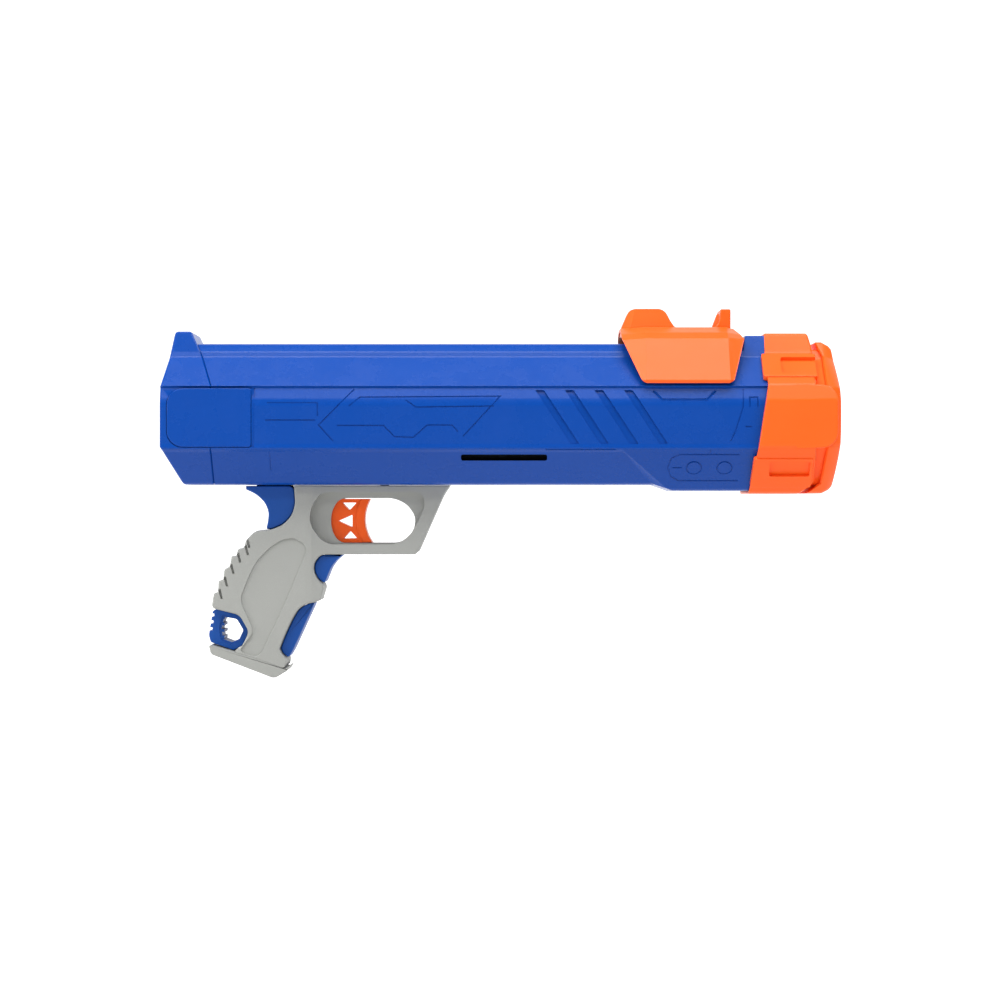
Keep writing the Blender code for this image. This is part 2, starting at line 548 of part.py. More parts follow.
def side_prism(name, outline, low_y, high_y, finish=None, edge=0.0, edge_both=False):
    """Extrude an outline given in X and Z along Y, and round its outer edges."""
    bm = bmesh.new()
    face = bm.faces.new([bm.verts.new((x, low_y, z)) for x, z in outline])
    grown = bmesh.ops.extrude_face_region(bm, geom=[face])
    far = [v for v in grown["geom"] if isinstance(v, bmesh.types.BMVert)]
    bmesh.ops.translate(bm, verts=far, vec=(0, high_y - low_y, 0))
    if edge:
        wanted = [high_y, low_y] if edge_both else [high_y]
        picked = [
            e for e in bm.edges
            if any(all(abs(v.co.y - y) < GAP * 0.1 for v in e.verts) for y in wanted)
        ]
        bmesh.ops.bevel(
            bm, geom=picked, offset=edge, segments=2, profile=0.5,
            affect="EDGES", clamp_overlap=True, material=-1,
        )
        bmesh.ops.dissolve_degenerate(bm, dist=GAP * 0.01, edges=bm.edges)
    return add_object(name, bm, finish)


def box(name, low, high, finish=None):
    """A block between two corners."""
    outline = [(low[0], low[2]), (high[0], low[2]), (high[0], high[2]), (low[0], high[2])]
    return side_prism(name, outline, low[1], high[1], finish)


def turned(name, profile, sides, axis, at, finish=None):
    """Turn (distance along the axis, radius) pairs into a solid round that axis."""
    bm = bmesh.new()
    rows = []
    for along, radius in profile:
        rows.append([
            bm.verts.new((along, radius * math.cos(t), radius * math.sin(t)))
            for t in (math.tau * i / sides for i in range(sides))
        ])
    closed = profile[0] == profile[-1]
    if closed:
        for vert in rows.pop():
            bm.verts.remove(vert)
    pairs = list(zip(rows, rows[1:])) + ([(rows[-1], rows[0])] if closed else [])
    for low, high in pairs:
        for i in range(sides):
            j = (i + 1) % sides
            bm.faces.new((low[i], low[j], high[j], high[i]))
    if not closed:
        bm.faces.new(rows[0])
        bm.faces.new(rows[-1])
    turn = Vector((1, 0, 0)).rotation_difference(Vector(axis)).to_matrix().to_4x4()
    bmesh.ops.transform(bm, matrix=Matrix.Translation(at) @ turn, verts=bm.verts)
    return add_object(name, bm, finish, smooth=True)


def cylinder(name, start, end, radius, sides, finish=None):
    """A round bar from one point to another."""
    start, end = Vector(start), Vector(end)
    length = (end - start).length
    return turned(name, [(0, radius), (length, radius)], sides, end - start, start, finish)


def hide_tool(tool):
    """A cutter or an addition stays in the file but isn't a piece."""
    tool.hide_render = True
    tool.display_type = "WIRE"


def combine(target, tool, operation):
    """Cut or join with a Boolean that stays live."""
    modifier = target.modifiers.new(tool.name, "BOOLEAN")
    modifier.operation = operation
    modifier.solver = "EXACT"
    modifier.object = tool
    hide_tool(tool)


def cut(target, tool):
    combine(target, tool, "DIFFERENCE")


def join(target, tool):
    combine(target, tool, "UNION")


def set_origin(obj, point):
    """Put an object's origin on its joint, with its mesh where it was."""
    obj.data.transform(Matrix.Translation(-Vector(point)))
    obj.location = point


def rounded(points, radii, steps):
    """Swap corners of an open or closed outline for arcs; a radius of 0 keeps the corner."""
    made = []
    count = len(points)
    for i, radius in enumerate(radii):
        here = Vector(points[i])
        if not radius:
            made.append(tuple(here))
            continue
        back = (Vector(points[i - 1]) - here).normalized()
        ahead = (Vector(points[(i + 1) % count]) - here).normalized()
        half = back.angle(ahead) / 2
        centre = here + (back + ahead).normalized() * (radius / math.sin(half))
        arm = here + back * (radius / math.tan(half)) - centre
        sweep = math.pi - 2 * half
        if arm.x * ahead.y - arm.y * ahead.x < 0:
            sweep = -sweep
        for k in range(steps + 1):
            arc = Matrix.Rotation(sweep * k / steps, 2) @ arm
            made.append(tuple(centre + arc))
    return made


def grown(outline, distance):
    """Move a closed outline's edges out by a distance, or in where it is negative."""
    count = len(outline)
    area = sum(
        outline[i][0] * outline[(i + 1) % count][1] - outline[(i + 1) % count][0] * outline[i][1]
        for i in range(count)
    )
    turn = 1 if area > 0 else -1
    made = []
    for i in range(count):
        here = Vector(outline[i])
        into = (here - Vector(outline[i - 1])).normalized()
        out = (Vector(outline[(i + 1) % count]) - here).normalized()
        normal_in = Vector((into.y, -into.x)) * turn
        normal_out = Vector((out.y, -out.x)) * turn
        mitre = (normal_in + normal_out).normalized()
        stretch = max(mitre.dot(normal_in), 0.5)
        made.append(tuple(here + mitre * (distance / stretch)))
    return made


def shoulder_height():
    """Where the steep side of a raised collar meets the body's upper facet."""
    drop = (BODY_TOP - RIDGE_TOP) / (BODY_HALF_WIDTH - BODY_TOP_HALF)
    return BODY_TOP - (SHOULDER_HALF - BODY_TOP_HALF) * drop


def half_section(top, top_half, top_radius, bottom, bottom_half, inset=0.0):
    """The +Y half of a body section, from the top's middle to the bottom's."""
    corners = [
        (0, top), (top_half, top), (SHOULDER_HALF, shoulder_height()),
        (BODY_HALF_WIDTH, RIDGE_TOP), (BODY_HALF_WIDTH, -RIDGE_BOTTOM),
        (bottom_half, -bottom), (0, -bottom),
    ]
    return rounded_half(corners, top_radius, inset)


def rounded_half(corners, top_radius, inset):
    """Draw half a section in by an inset and round its corners."""
    moved = grown(whole(corners), -inset)[:len(corners)]
    bends = [top_radius, RIDGE_RADIUS, RIDGE_RADIUS, BOTTOM_RADIUS]
    arcs = [max(bend - inset, TIGHTEST_RADIUS) for bend in bends]
    radii = [0, arcs[0], 0, arcs[1], arcs[2], arcs[3], 0]
    return rounded(moved, radii, CORNER_STEPS)


def body_half(inset=0.0):
    """The casing's half section, drawn in by a wall or a gap."""
    return half_section(BODY_TOP, BODY_TOP_HALF, TOP_RADIUS, BODY_BOTTOM, BODY_BOTTOM_HALF, inset)


def collar_half(inset=0.0):
    """The casing's half section under the front collar and over the fairing."""
    return half_section(
        FRONT_COLLAR_TOP, FRONT_COLLAR_HALF, COLLAR_RADIUS, FAIRING_BOTTOM,
        FAIRING_BOTTOM_HALF, inset,
    )


def ring_half(inset):
    """The muzzle ring's half section, drawn in where there is no raised panel."""
    corners = [
        (0, RING_TOP), (RING_TOP_HALF, RING_TOP), (RING_SHOULDER_HALF, RING_SHOULDER),
        (RING_HALF_WIDTH, RING_RIDGE_TOP), (RING_HALF_WIDTH, -RING_RIDGE_BOTTOM),
        (RING_BOTTOM_HALF, -RING_BOTTOM), (0, -RING_BOTTOM),
    ]
    return rounded_half(corners, COLLAR_RADIUS, inset)


def whole(half):
    """Both halves of a section as one closed outline."""
    return half + [(-y, z) for y, z in reversed(half[1:-1])]


def section_ring(outline, x_at):
    """Place a YZ outline in space; x_at gives X for a height."""
    return [(x_at(z), y, z) for y, z in outline]


def section_prism(name, half, rear, front, finish=None):
    """A straight length of a section."""
    outline = whole(half)
    return loft(
        name, [section_ring(outline, lambda z: rear), section_ring(outline, lambda z: front)],
        finish,
    )


def cap_split(z):
    """Where the rear cap meets the shells: square below the ridge, raked above it."""
    return CAP_SPLIT - CAP_SPLIT_SLOPE * max(z - RIDGE_TOP - RIDGE_RADIUS, 0)


def fairing_rear(z):
    """The fairing's rear edge, which leans back as it goes down the lower facet."""
    return FAIRING_REAR + FAIRING_SLOPE * max(-RIDGE_BOTTOM - RIDGE_RADIUS - z, 0)


def collar_rear(z):
    return FRONT_COLLAR_REAR + FRONT_COLLAR_SLOPE * max(z - RIDGE_TOP - RIDGE_RADIUS, 0)


def ring_rear(z):
    return RING_REAR + RING_REAR_SLOPE * min(z - RING_RIDGE_TOP, 0)


def body_shell(name, side):
    """One half of the blue casing: a lofted wall with collar and fairing."""
    plain = body_half()
    faired = half_section(
        BODY_TOP, BODY_TOP_HALF, TOP_RADIUS, FAIRING_BOTTOM, FAIRING_BOTTOM_HALF)
    collared = collar_half()
    inner = body_half(SHELL_WALL)
    stations = [
        (plain, lambda z: cap_split(z) + CAP_SEAM),
        (plain, fairing_rear),
        (faired, lambda z: fairing_rear(z) + FAIRING_STEP),
        (faired, collar_rear),
        (collared, lambda z: collar_rear(z) + COLLAR_STEP),
        (collared, lambda z: SHELL_FRONT),
    ]
    rings = []
    for outer, x_at in stations:
        ring = [(x_at(z), side * (y + GAP / 2), z) for y, z in outer]
        ring += [(x_at(z), side * (y + GAP / 2), z) for y, z in reversed(inner)]
        rings.append(ring)
    return loft(name, rings, "blue_plastic", hollow=True)


def plate_outline():
    """The bare side plate: square in front, large corners behind."""
    corners = [
        (PLATE_FRONT, PLATE_BOTTOM), (PLATE_FRONT, PLATE_TOP),
        (PLATE_REAR, PLATE_TOP), (PLATE_REAR, PLATE_BOTTOM),
    ]
    radii = [PLATE_FRONT_RADIUS, PLATE_FRONT_RADIUS, PLATE_REAR_RADIUS, PLATE_REAR_RADIUS]
    return rounded(corners, radii, CORNER_STEPS)


def make_plate(name, side):
    face = side * BODY_HALF_WIDTH
    return side_prism(name, plate_outline(), face - side * PLATE_DEPTH, face, "blue_plastic")


def plate_recess(name, side):
    floor = side * (BODY_HALF_WIDTH - PLATE_DEPTH - GAP)
    outline = grown(plate_outline(), GAP)
    return side_prism(name, outline, floor, side * (BODY_HALF_WIDTH + OVERRUN))


def cut_grooves(shell, side):
    """Four leaning grooves, sunk into the side."""
    for i in range(GROOVE_COUNT):
        top = GROOVE_FIRST + GROOVE_PITCH * i
        foot = top + GROOVE_LEAN
        outline = [
            (top, GROOVE_TOP), (top + GROOVE_WIDTH, GROOVE_TOP),
            (foot + GROOVE_WIDTH, GROOVE_BOTTOM), (foot, GROOVE_BOTTOM),
        ]
        floor = side * (BODY_HALF_WIDTH - GROOVE_DEPTH)
        wall = side * (BODY_HALF_WIDTH + OVERRUN)
        cut(shell, side_prism(f"{shell.name}_groove_{i}", outline, floor, wall))


def cut_vent(shell, side):
    """A slot through the lower facet."""
    top = -RIDGE_BOTTOM - VENT_DROP
    low = (VENT_REAR, side * (BODY_HALF_WIDTH - SHELL_WALL * 4), top - VENT_HEIGHT)
    high = (VENT_REAR + VENT_LENGTH, side * (BODY_HALF_WIDTH + OVERRUN), top)
    cut(shell, box(f"{shell.name}_vent", low, high))


def screw_spots(xs, zs):
    return [(x, z) for x in xs for z in zs]


def boss_wall(z):
    """How far out from the middle a boss reaches before it is inside the shell's wall."""
    slope = (BODY_HALF_WIDTH - BODY_TOP_HALF) / (BODY_TOP - RIDGE_TOP)
    if z > RIDGE_TOP:
        return BODY_HALF_WIDTH - slope * (z + BOSS_RADIUS - RIDGE_TOP) - SHELL_WALL / 2
    return BODY_HALF_WIDTH - SHELL_WALL / 2


def add_bosses(shell, side):
    """Round bosses for the body screws, with a sunk head on the left side only."""
    seat = side * GAP / 2
    for i, (x, z) in enumerate(screw_spots(BODY_SCREW_X, BODY_SCREW_Z)):
        out = side * boss_wall(z)
        name = f"{shell.name}_boss_{i}"
        join(shell, cylinder(name, (x, seat, z), (x, out, z), BOSS_RADIUS, SCREW_SIDES))
    for i, (x, z) in enumerate(screw_spots(BODY_SCREW_X, BODY_SCREW_Z)):
        if side > 0:
            far = side * (BODY_HALF_WIDTH + OVERRUN)
            sink_start = (x, BODY_SCREW_SEAT - GAP, z)
            sink = cylinder(
                f"{shell.name}_sink_{i}", sink_start, (x, far, z), SCREW_SINK_RADIUS, SCREW_SIDES)
            hole = cylinder(
                f"{shell.name}_hole_{i}", (x, -OVERRUN, z), (x, BODY_SCREW_SEAT, z),
                SCREW_HOLE_RADIUS, SCREW_SIDES)
            cut(shell, sink)
            cut(shell, hole)
        else:
            depth = BODY_SCREW_SEAT - BODY_SCREW_LENGTH - GAP
            hole = cylinder(
                f"{shell.name}_hole_{i}", (x, OVERRUN, z), (x, depth, z),
                SCREW_HOLE_RADIUS, SCREW_SIDES)
            cut(shell, hole)


def make_body():
    """Both halves of the casing, with every cut they share."""
    for name, side in (("body_shell_right", -1), ("body_shell_left", 1)):
        shell = body_shell(name, side)
        add_bosses(shell, side)
        cut(shell, plate_recess(f"{name}_plate_recess", side))
        cut_grooves(shell, side)
        cut_vent(shell, side)
        slot_rear = HANDLE_STEM_REAR - STROKE - SLIDE_GAP
        slot_low = (slot_rear, -HANDLE_SLOT_HALF, BODY_TOP - SHELL_WALL * 2)
        slot_high = (HANDLE_STEM_FRONT + SLIDE_GAP, HANDLE_SLOT_HALF, BODY_TOP + OVERRUN)
        cut(shell, box(f"{name}_handle_slot", slot_low, slot_high))
        sear_low = (SEAR_OPENING_REAR, -SEAR_OPENING_HALF, -BODY_BOTTOM - OVERRUN)
        sear_high = (SEAR_BAY_FRONT, SEAR_OPENING_HALF, -BODY_BOTTOM + SHELL_WALL * 2)
        cut(shell, box(f"{name}_sear_opening", sear_low, sear_high))
        neck_low = (NECK_REAR - GAP, -NECK_HALF - GAP, -BODY_BOTTOM - OVERRUN)
        neck_high = (NECK_FRONT + GAP, NECK_HALF + GAP, -BODY_BOTTOM + SHELL_WALL * 2)
        cut(shell, box(f"{name}_neck_opening", neck_low, neck_high))


def make_rear_cap():
    """The blue cap: crowned back, raised collar, and a skirt that plugs into the shells."""
    collar = whole(half_section(
        REAR_COLLAR_TOP, REAR_COLLAR_HALF, COLLAR_RADIUS, BODY_BOTTOM, BODY_BOTTOM_HALF))
    skirt = whole(body_half(SHELL_WALL + GAP))
    rings = []
    for along, size in CAP_CROWN_SHARES:
        scaled = [(y * size, z * size) for y, z in collar]
        rake = CAP_RAKE * along
        rings.append(section_ring(scaled, lambda z, a=along, r=rake: CAP_CROWN * a - r * z))
    rings.append(section_ring(collar, cap_split))
    rings.append(section_ring(skirt, cap_split))
    rings.append(section_ring(skirt, lambda z: CAP_SKIRT_FRONT))
    cap = loft("rear_cap", rings, "blue_plastic")
    hollow = whole(body_half(SHELL_WALL + GAP + CAP_SKIRT_WALL))
    small = [(y * CAP_HOLLOW_SHARE, z * CAP_HOLLOW_SHARE) for y, z in hollow]
    cut(cap, loft("rear_cap_hollow", [
        section_ring(small, lambda z: CAP_REAR_WALL),
        section_ring(hollow, lambda z: CAP_REAR_WALL + CAP_HOLLOW_TAPER),
        section_ring(hollow, lambda z: CAP_SKIRT_FRONT + OVERRUN),
    ]))
    for side in (-1, 1):
        cut(cap, plate_recess(f"rear_cap_plate_{side}", side))


def make_plates():
    for name, side in (("side_plate_right", -1), ("side_plate_left", 1)):
        make_plate(name, side)


def make_bulkhead():
    """Plate at the back that takes the spring's push, with the guide rod through it."""
    half = body_half(SHELL_WALL + GAP)
    plate = section_prism(
        "spring_bulkhead", half, BULKHEAD_REAR, BULKHEAD_REAR + PLATE_THICKNESS, "barrel_plastic")
    hole = cylinder(
        "spring_bulkhead_hole", (BULKHEAD_REAR - OVERRUN, 0, 0),
        (BULKHEAD_REAR + PLATE_THICKNESS + OVERRUN, 0, 0), GUIDE_RADIUS + GAP, BARREL_SIDES // 2)
    cut(plate, hole)


def make_guide_rod():
    """The rod inside the main spring, with a flange behind the bulkhead."""
    rear = BULKHEAD_REAR - GAP - GUIDE_FLANGE
    root = GUIDE_FLANGE
    end = GUIDE_FRONT - rear
    profile = [
        (0, SPRING_RADIUS), (root, SPRING_RADIUS), (root, GUIDE_RADIUS),
        (end - GUIDE_NOSE, GUIDE_RADIUS), (end, GUIDE_RADIUS - GUIDE_NOSE),
    ]
    turned("spring_guide_rod", profile, BARREL_SIDES // 2, (1, 0, 0), (rear, 0, 0), "nylon")


def make_barrel_plate():
    """Plate that carries the barrel's rear end and lets the spring through."""
    front = BARREL_REAR - GAP
    half = body_half(SHELL_WALL + GAP)
    plate = section_prism(
        "barrel_rear_plate", half, front - PLATE_THICKNESS, front, "barrel_plastic")
    hole = cylinder(
        "barrel_rear_plate_hole", (front - PLATE_THICKNESS - OVERRUN, 0, 0),
        (front + OVERRUN, 0, 0), SPRING_HOLE_RADIUS, BARREL_SIDES // 2)
    cut(plate, hole)


def make_barrel():
    """The tube the ball and the plunger run in, slotted for the fin and the lug."""
    profile = [
        (0, BARREL_OUTER), (BARREL_FRONT - BARREL_REAR, BARREL_OUTER),
        (BARREL_FRONT - BARREL_REAR, BARREL_BORE), (0, BARREL_BORE), (0, BARREL_OUTER),
    ]
    tube = turned(
        "barrel_tube", profile, BARREL_SIDES, (1, 0, 0), (BARREL_REAR, 0, 0), "barrel_plastic")
    half = BARREL_SLOT_HALF
    top_low = (FIN_REAR - STROKE - SLIDE_GAP, -half, 0)
    top_high = (CARRIAGE_REAR + HOOK_LENGTH + SLIDE_GAP, half, BARREL_OUTER + OVERRUN)
    cut(tube, box("barrel_top_slot", top_low, top_high))
    bottom_low = (LUG_REAR - STROKE - SLIDE_GAP, -half, -BARREL_OUTER - OVERRUN)
    bottom_high = (LUG_REAR + LUG_LENGTH + SLIDE_GAP, half, 0)
    cut(tube, box("barrel_bottom_slot", bottom_low, bottom_high))


def make_plunger():
    """A cup that slides in the barrel, with a fin on top and a catch lug below."""
    rear = PLUNGER_FRONT - PLUNGER_LENGTH
    floor = PLUNGER_LENGTH - PLUNGER_END
    inner = PLUNGER_RADIUS - PLUNGER_WALL
    profile = [
        (0, inner), (0, PLUNGER_RADIUS), (PLUNGER_LENGTH, PLUNGER_RADIUS),
        (PLUNGER_LENGTH, SCREW_HOLE_RADIUS), (floor - PLUNGER_BOSS_LENGTH, SCREW_HOLE_RADIUS),
        (floor - PLUNGER_BOSS_LENGTH, PLUNGER_BOSS_RADIUS), (floor, PLUNGER_BOSS_RADIUS),
        (floor, inner), (0, inner),
    ]
    cup = turned("plunger", profile, BARREL_SIDES, (1, 0, 0), (rear, 0, 0), "nylon")
    fin_root = inner + PLUNGER_WALL / 2
    join(cup, box("plunger_fin", (FIN_REAR, -FIN_HALF, fin_root), (FIN_FRONT, FIN_HALF, FIN_TOP)))
    tongue_top = -TONGUE_BOTTOM + TONGUE_THICKNESS
    join(cup, box(
        "plunger_tongue", (TONGUE_REAR, -TONGUE_HALF, -TONGUE_BOTTOM),
        (rear + PLUNGER_WALL, TONGUE_HALF, tongue_top)))
    lug_front = LUG_REAR + LUG_LENGTH
    lug_root = -TONGUE_BOTTOM + TONGUE_THICKNESS / 2
    lug = [
        (LUG_REAR, lug_root), (LUG_REAR, -LUG_BOTTOM + LUG_RAMP),
        (LUG_REAR + LUG_RAMP, -LUG_BOTTOM), (lug_front, -LUG_BOTTOM), (lug_front, lug_root),
    ]
    join(cup, side_prism("plunger_lug", lug, -LUG_HALF, LUG_HALF))
    set_origin(cup, (PLUNGER_FRONT, 0, 0))


def make_pad():
    """Soft disc on the plunger's face."""
    profile = [
        (0, PAD_RADIUS), (PAD_THICKNESS, PAD_RADIUS), (PAD_THICKNESS, PAD_HOLE_RADIUS),
        (0, PAD_HOLE_RADIUS), (0, PAD_RADIUS),
    ]
    pad = turned(
        "plunger_pad", profile, BARREL_SIDES, (1, 0, 0), (PLUNGER_FRONT + GAP, 0, 0), "dark_rubber")
    set_origin(pad, (PLUNGER_FRONT, 0, 0))


def coil(name, start, end, radius, wire, turns, finish):
    """A spring from one point to another: one tube along a computed helix."""
    start, end = Vector(start), Vector(end)
    axis = (end - start).normalized()
    length = (end - start).length - 2 * wire
    across = axis.orthogonal().normalized()
    up = axis.cross(across)
    count = turns * SPRING_STEPS
    curve = bpy.data.curves.new(name, "CURVE")
    curve.dimensions = "3D"
    curve.bevel_depth = wire
    curve.bevel_resolution = 1
    curve.use_fill_caps = True
    spline = curve.splines.new("POLY")
    spline.points.add(count)
    for i in range(count + 1):
        turn = math.tau * turns * i / count
        place = start + axis * (wire + length * i / count)
        place += (across * math.cos(turn) + up * math.sin(turn)) * radius
        spline.points[i].co = (*place, 1)
    obj = bpy.data.objects.new(name, curve)
    bpy.context.scene.collection.objects.link(obj)
    curve.materials.append(material(finish))
    return obj


def make_springs():
    """Main spring, trigger spring and sear spring."""
    plunger_back = PLUNGER_FRONT - PLUNGER_END - GAP
    bulkhead_front = BULKHEAD_REAR + PLATE_THICKNESS + GAP
    coil("main_spring", (bulkhead_front, 0, 0), (plunger_back, 0, 0),
         SPRING_RADIUS, SPRING_WIRE, SPRING_TURNS, "steel")
    spine_front = max(x for x, z in grip_outline(SPINE_SHARES))
    coil("trigger_spring", (spine_front + GAP, 0, TRIGGER_SPRING_HEIGHT),
         (TRIGGER_REAR + TRIGGER_BORE_DEPTH - GAP, 0, TRIGGER_SPRING_HEIGHT),
         TRIGGER_SPRING_RADIUS, TRIGGER_SPRING_WIRE, TRIGGER_SPRING_TURNS, "steel")
    tail_top = SEAR_Z + SEAR_NOSE_RISE * SEAR_SHARES[0][1]
    coil("sear_spring", (SEAR_SPRING_X, 0, tail_top + GAP), (SEAR_SPRING_X, 0, -BODY_BOTTOM - GAP),
         SEAR_SPRING_RADIUS, SEAR_SPRING_WIRE, SEAR_SPRING_TURNS, "steel")


def handle_drop(z):
    """How far down the saddle's side a height is, from 0 at the shoulder to 1 at the foot."""
    return max(HANDLE_SHOULDER - z, 0) / (HANDLE_SHOULDER - HANDLE_SKIRT_BOTTOM)


def handle_rear(z):
    """Rear edge of the saddle, leaning forward as it goes down."""
    foot = HANDLE_REAR - HANDLE_FOOT_FLARE
    return HANDLE_TOP_REAR + (foot - HANDLE_TOP_REAR) * handle_drop(z)


def handle_front(z):
    """Front edge of the saddle, leaning back above the shoulder and below it."""
    foot = HANDLE_FRONT + HANDLE_FOOT_FLARE
    nose = HANDLE_NOSE_SLOPE * max(z - HANDLE_SHOULDER, 0)
    return HANDLE_TOP_FRONT - nose + (foot - HANDLE_TOP_FRONT) * handle_drop(z)


def handle_outline(wall):
    """Arch over the body: the outer line from foot to foot, and the inner line back."""
    foot = HANDLE_SKIRT_BOTTOM
    slope = (BODY_HALF_WIDTH - BODY_TOP_HALF) / (BODY_TOP - RIDGE_TOP)
    foot_y = BODY_HALF_WIDTH + SLIDE_GAP - (foot - RIDGE_TOP) * slope
    inner = [(y, z) for y, z in body_half(-SLIDE_GAP) if z > foot + RIDGE_RADIUS]
    inner.append((foot_y, foot))
    corners = [
        (0, HANDLE_DECK), (HANDLE_DECK_HALF, HANDLE_DECK),
        (HANDLE_SHOULDER_HALF, HANDLE_SHOULDER), (foot_y + wall, foot),
    ]
    outer = rounded(corners, [0, HANDLE_DECK_RADIUS, 0, 0], CORNER_STEPS)
    lines = []
    for half in (outer, inner):
        lines.append([(-y, z) for y, z in reversed(half[1:])] + half)
    return lines[0] + list(reversed(lines[1]))


def make_handle():
    """The orange saddle: arch, raised grip on top, and a stem through the slot."""
    stations = (
        (HANDLE_END_WALL, handle_rear), (HANDLE_WALL, lambda z: HANDLE_REAR),
        (HANDLE_WALL, lambda z: HANDLE_FRONT), (HANDLE_END_WALL, handle_front),
    )
    rings = [section_ring(handle_outline(wall), x_at) for wall, x_at in stations]
    handle = loft("priming_handle", rings, "orange_plastic", hollow=True)
    base = HANDLE_DECK - HANDLE_GRIP_SINK
    for name, shares in (("hump", HANDLE_HUMP_SHARES), ("prong", HANDLE_PRONG_SHARES)):
        outline = [
            (HANDLE_GRIP_REAR + HANDLE_GRIP_LENGTH * x, base + HANDLE_GRIP_HEIGHT * z)
            for x, z in shares
        ]
        join(handle, side_prism(
            f"handle_{name}", outline, -HANDLE_GRIP_HALF, HANDLE_GRIP_HALF,
            edge=HANDLE_GRIP_EDGE, edge_both=True))
    join(handle, box(
        "handle_stem", (HANDLE_STEM_REAR, -HANDLE_STEM_HALF, CARRIAGE_TOP + GAP),
        (HANDLE_STEM_FRONT, HANDLE_STEM_HALF, HANDLE_SHOULDER)))
    for i, x in enumerate(carriage_screw_places()):
        cut(handle, cylinder(
            f"handle_sink_{i}", (x, 0, CARRIAGE_SCREW_SEAT - GAP),
            (x, 0, HANDLE_DECK + HANDLE_GRIP_HEIGHT), SCREW_SINK_RADIUS, SCREW_SIDES))
        cut(handle, cylinder(
            f"handle_hole_{i}", (x, 0, CARRIAGE_TOP - OVERRUN), (x, 0, CARRIAGE_SCREW_SEAT),
            SCREW_HOLE_RADIUS, SCREW_SIDES))
    set_origin(handle, (HANDLE_STEM_REAR, 0, BODY_TOP))


def carriage_screw_places():
    return [CARRIAGE_SCREW_FIRST + CARRIAGE_SCREW_PITCH * i for i in range(2)]


def make_carriage():
    """Plate under the slot that holds the handle down and hooks the plunger's fin."""
    carriage = box(
        "handle_carriage", (CARRIAGE_REAR, -CARRIAGE_HALF, CARRIAGE_BOTTOM),
        (CARRIAGE_FRONT, CARRIAGE_HALF, CARRIAGE_TOP), "nylon")
    join(carriage, box(
        "carriage_hook", (CARRIAGE_REAR, -FIN_HALF, HOOK_BOTTOM),
        (CARRIAGE_REAR + HOOK_LENGTH, FIN_HALF, CARRIAGE_TOP - GAP)))
    for i, x in enumerate(carriage_screw_places()):
        cut(carriage, cylinder(
            f"carriage_hole_{i}", (x, 0, CARRIAGE_BOTTOM - OVERRUN), (x, 0, CARRIAGE_TOP + OVERRUN),
            SCREW_HOLE_RADIUS, SCREW_SIDES))
    set_origin(carriage, (HANDLE_STEM_REAR, 0, BODY_TOP))


def rim_front(z):
    return RING_FRONT - RIM_CROWN * (z / RING_TOP) ** 2


def facet_box(name, upper, side, rear, length, height, depth):
    """A shallow block sunk square into one of the ring's slanted facets."""
    if upper:
        a = Vector((RING_SHOULDER_HALF, RING_SHOULDER))
        b = Vector((RING_HALF_WIDTH, RING_RIDGE_TOP))
    else:
        a = Vector((RING_HALF_WIDTH, -RING_RIDGE_BOTTOM))
        b = Vector((RING_BOTTOM_HALF, -RING_BOTTOM))
    along = (b - a).normalized()
    out = Vector((-along.y, along.x))
    middle = (a + b) / 2
    corners = []
    for s, t in ((-1, -depth), (1, -depth), (1, OVERRUN), (-1, OVERRUN)):
        spot = middle + along * (s * height / 2) + out * t
        corners.append((side * spot.x, spot.y))
    rings = [[(x, y, z) for y, z in corners] for x in (rear, rear + length)]
    return loft(name, rings)


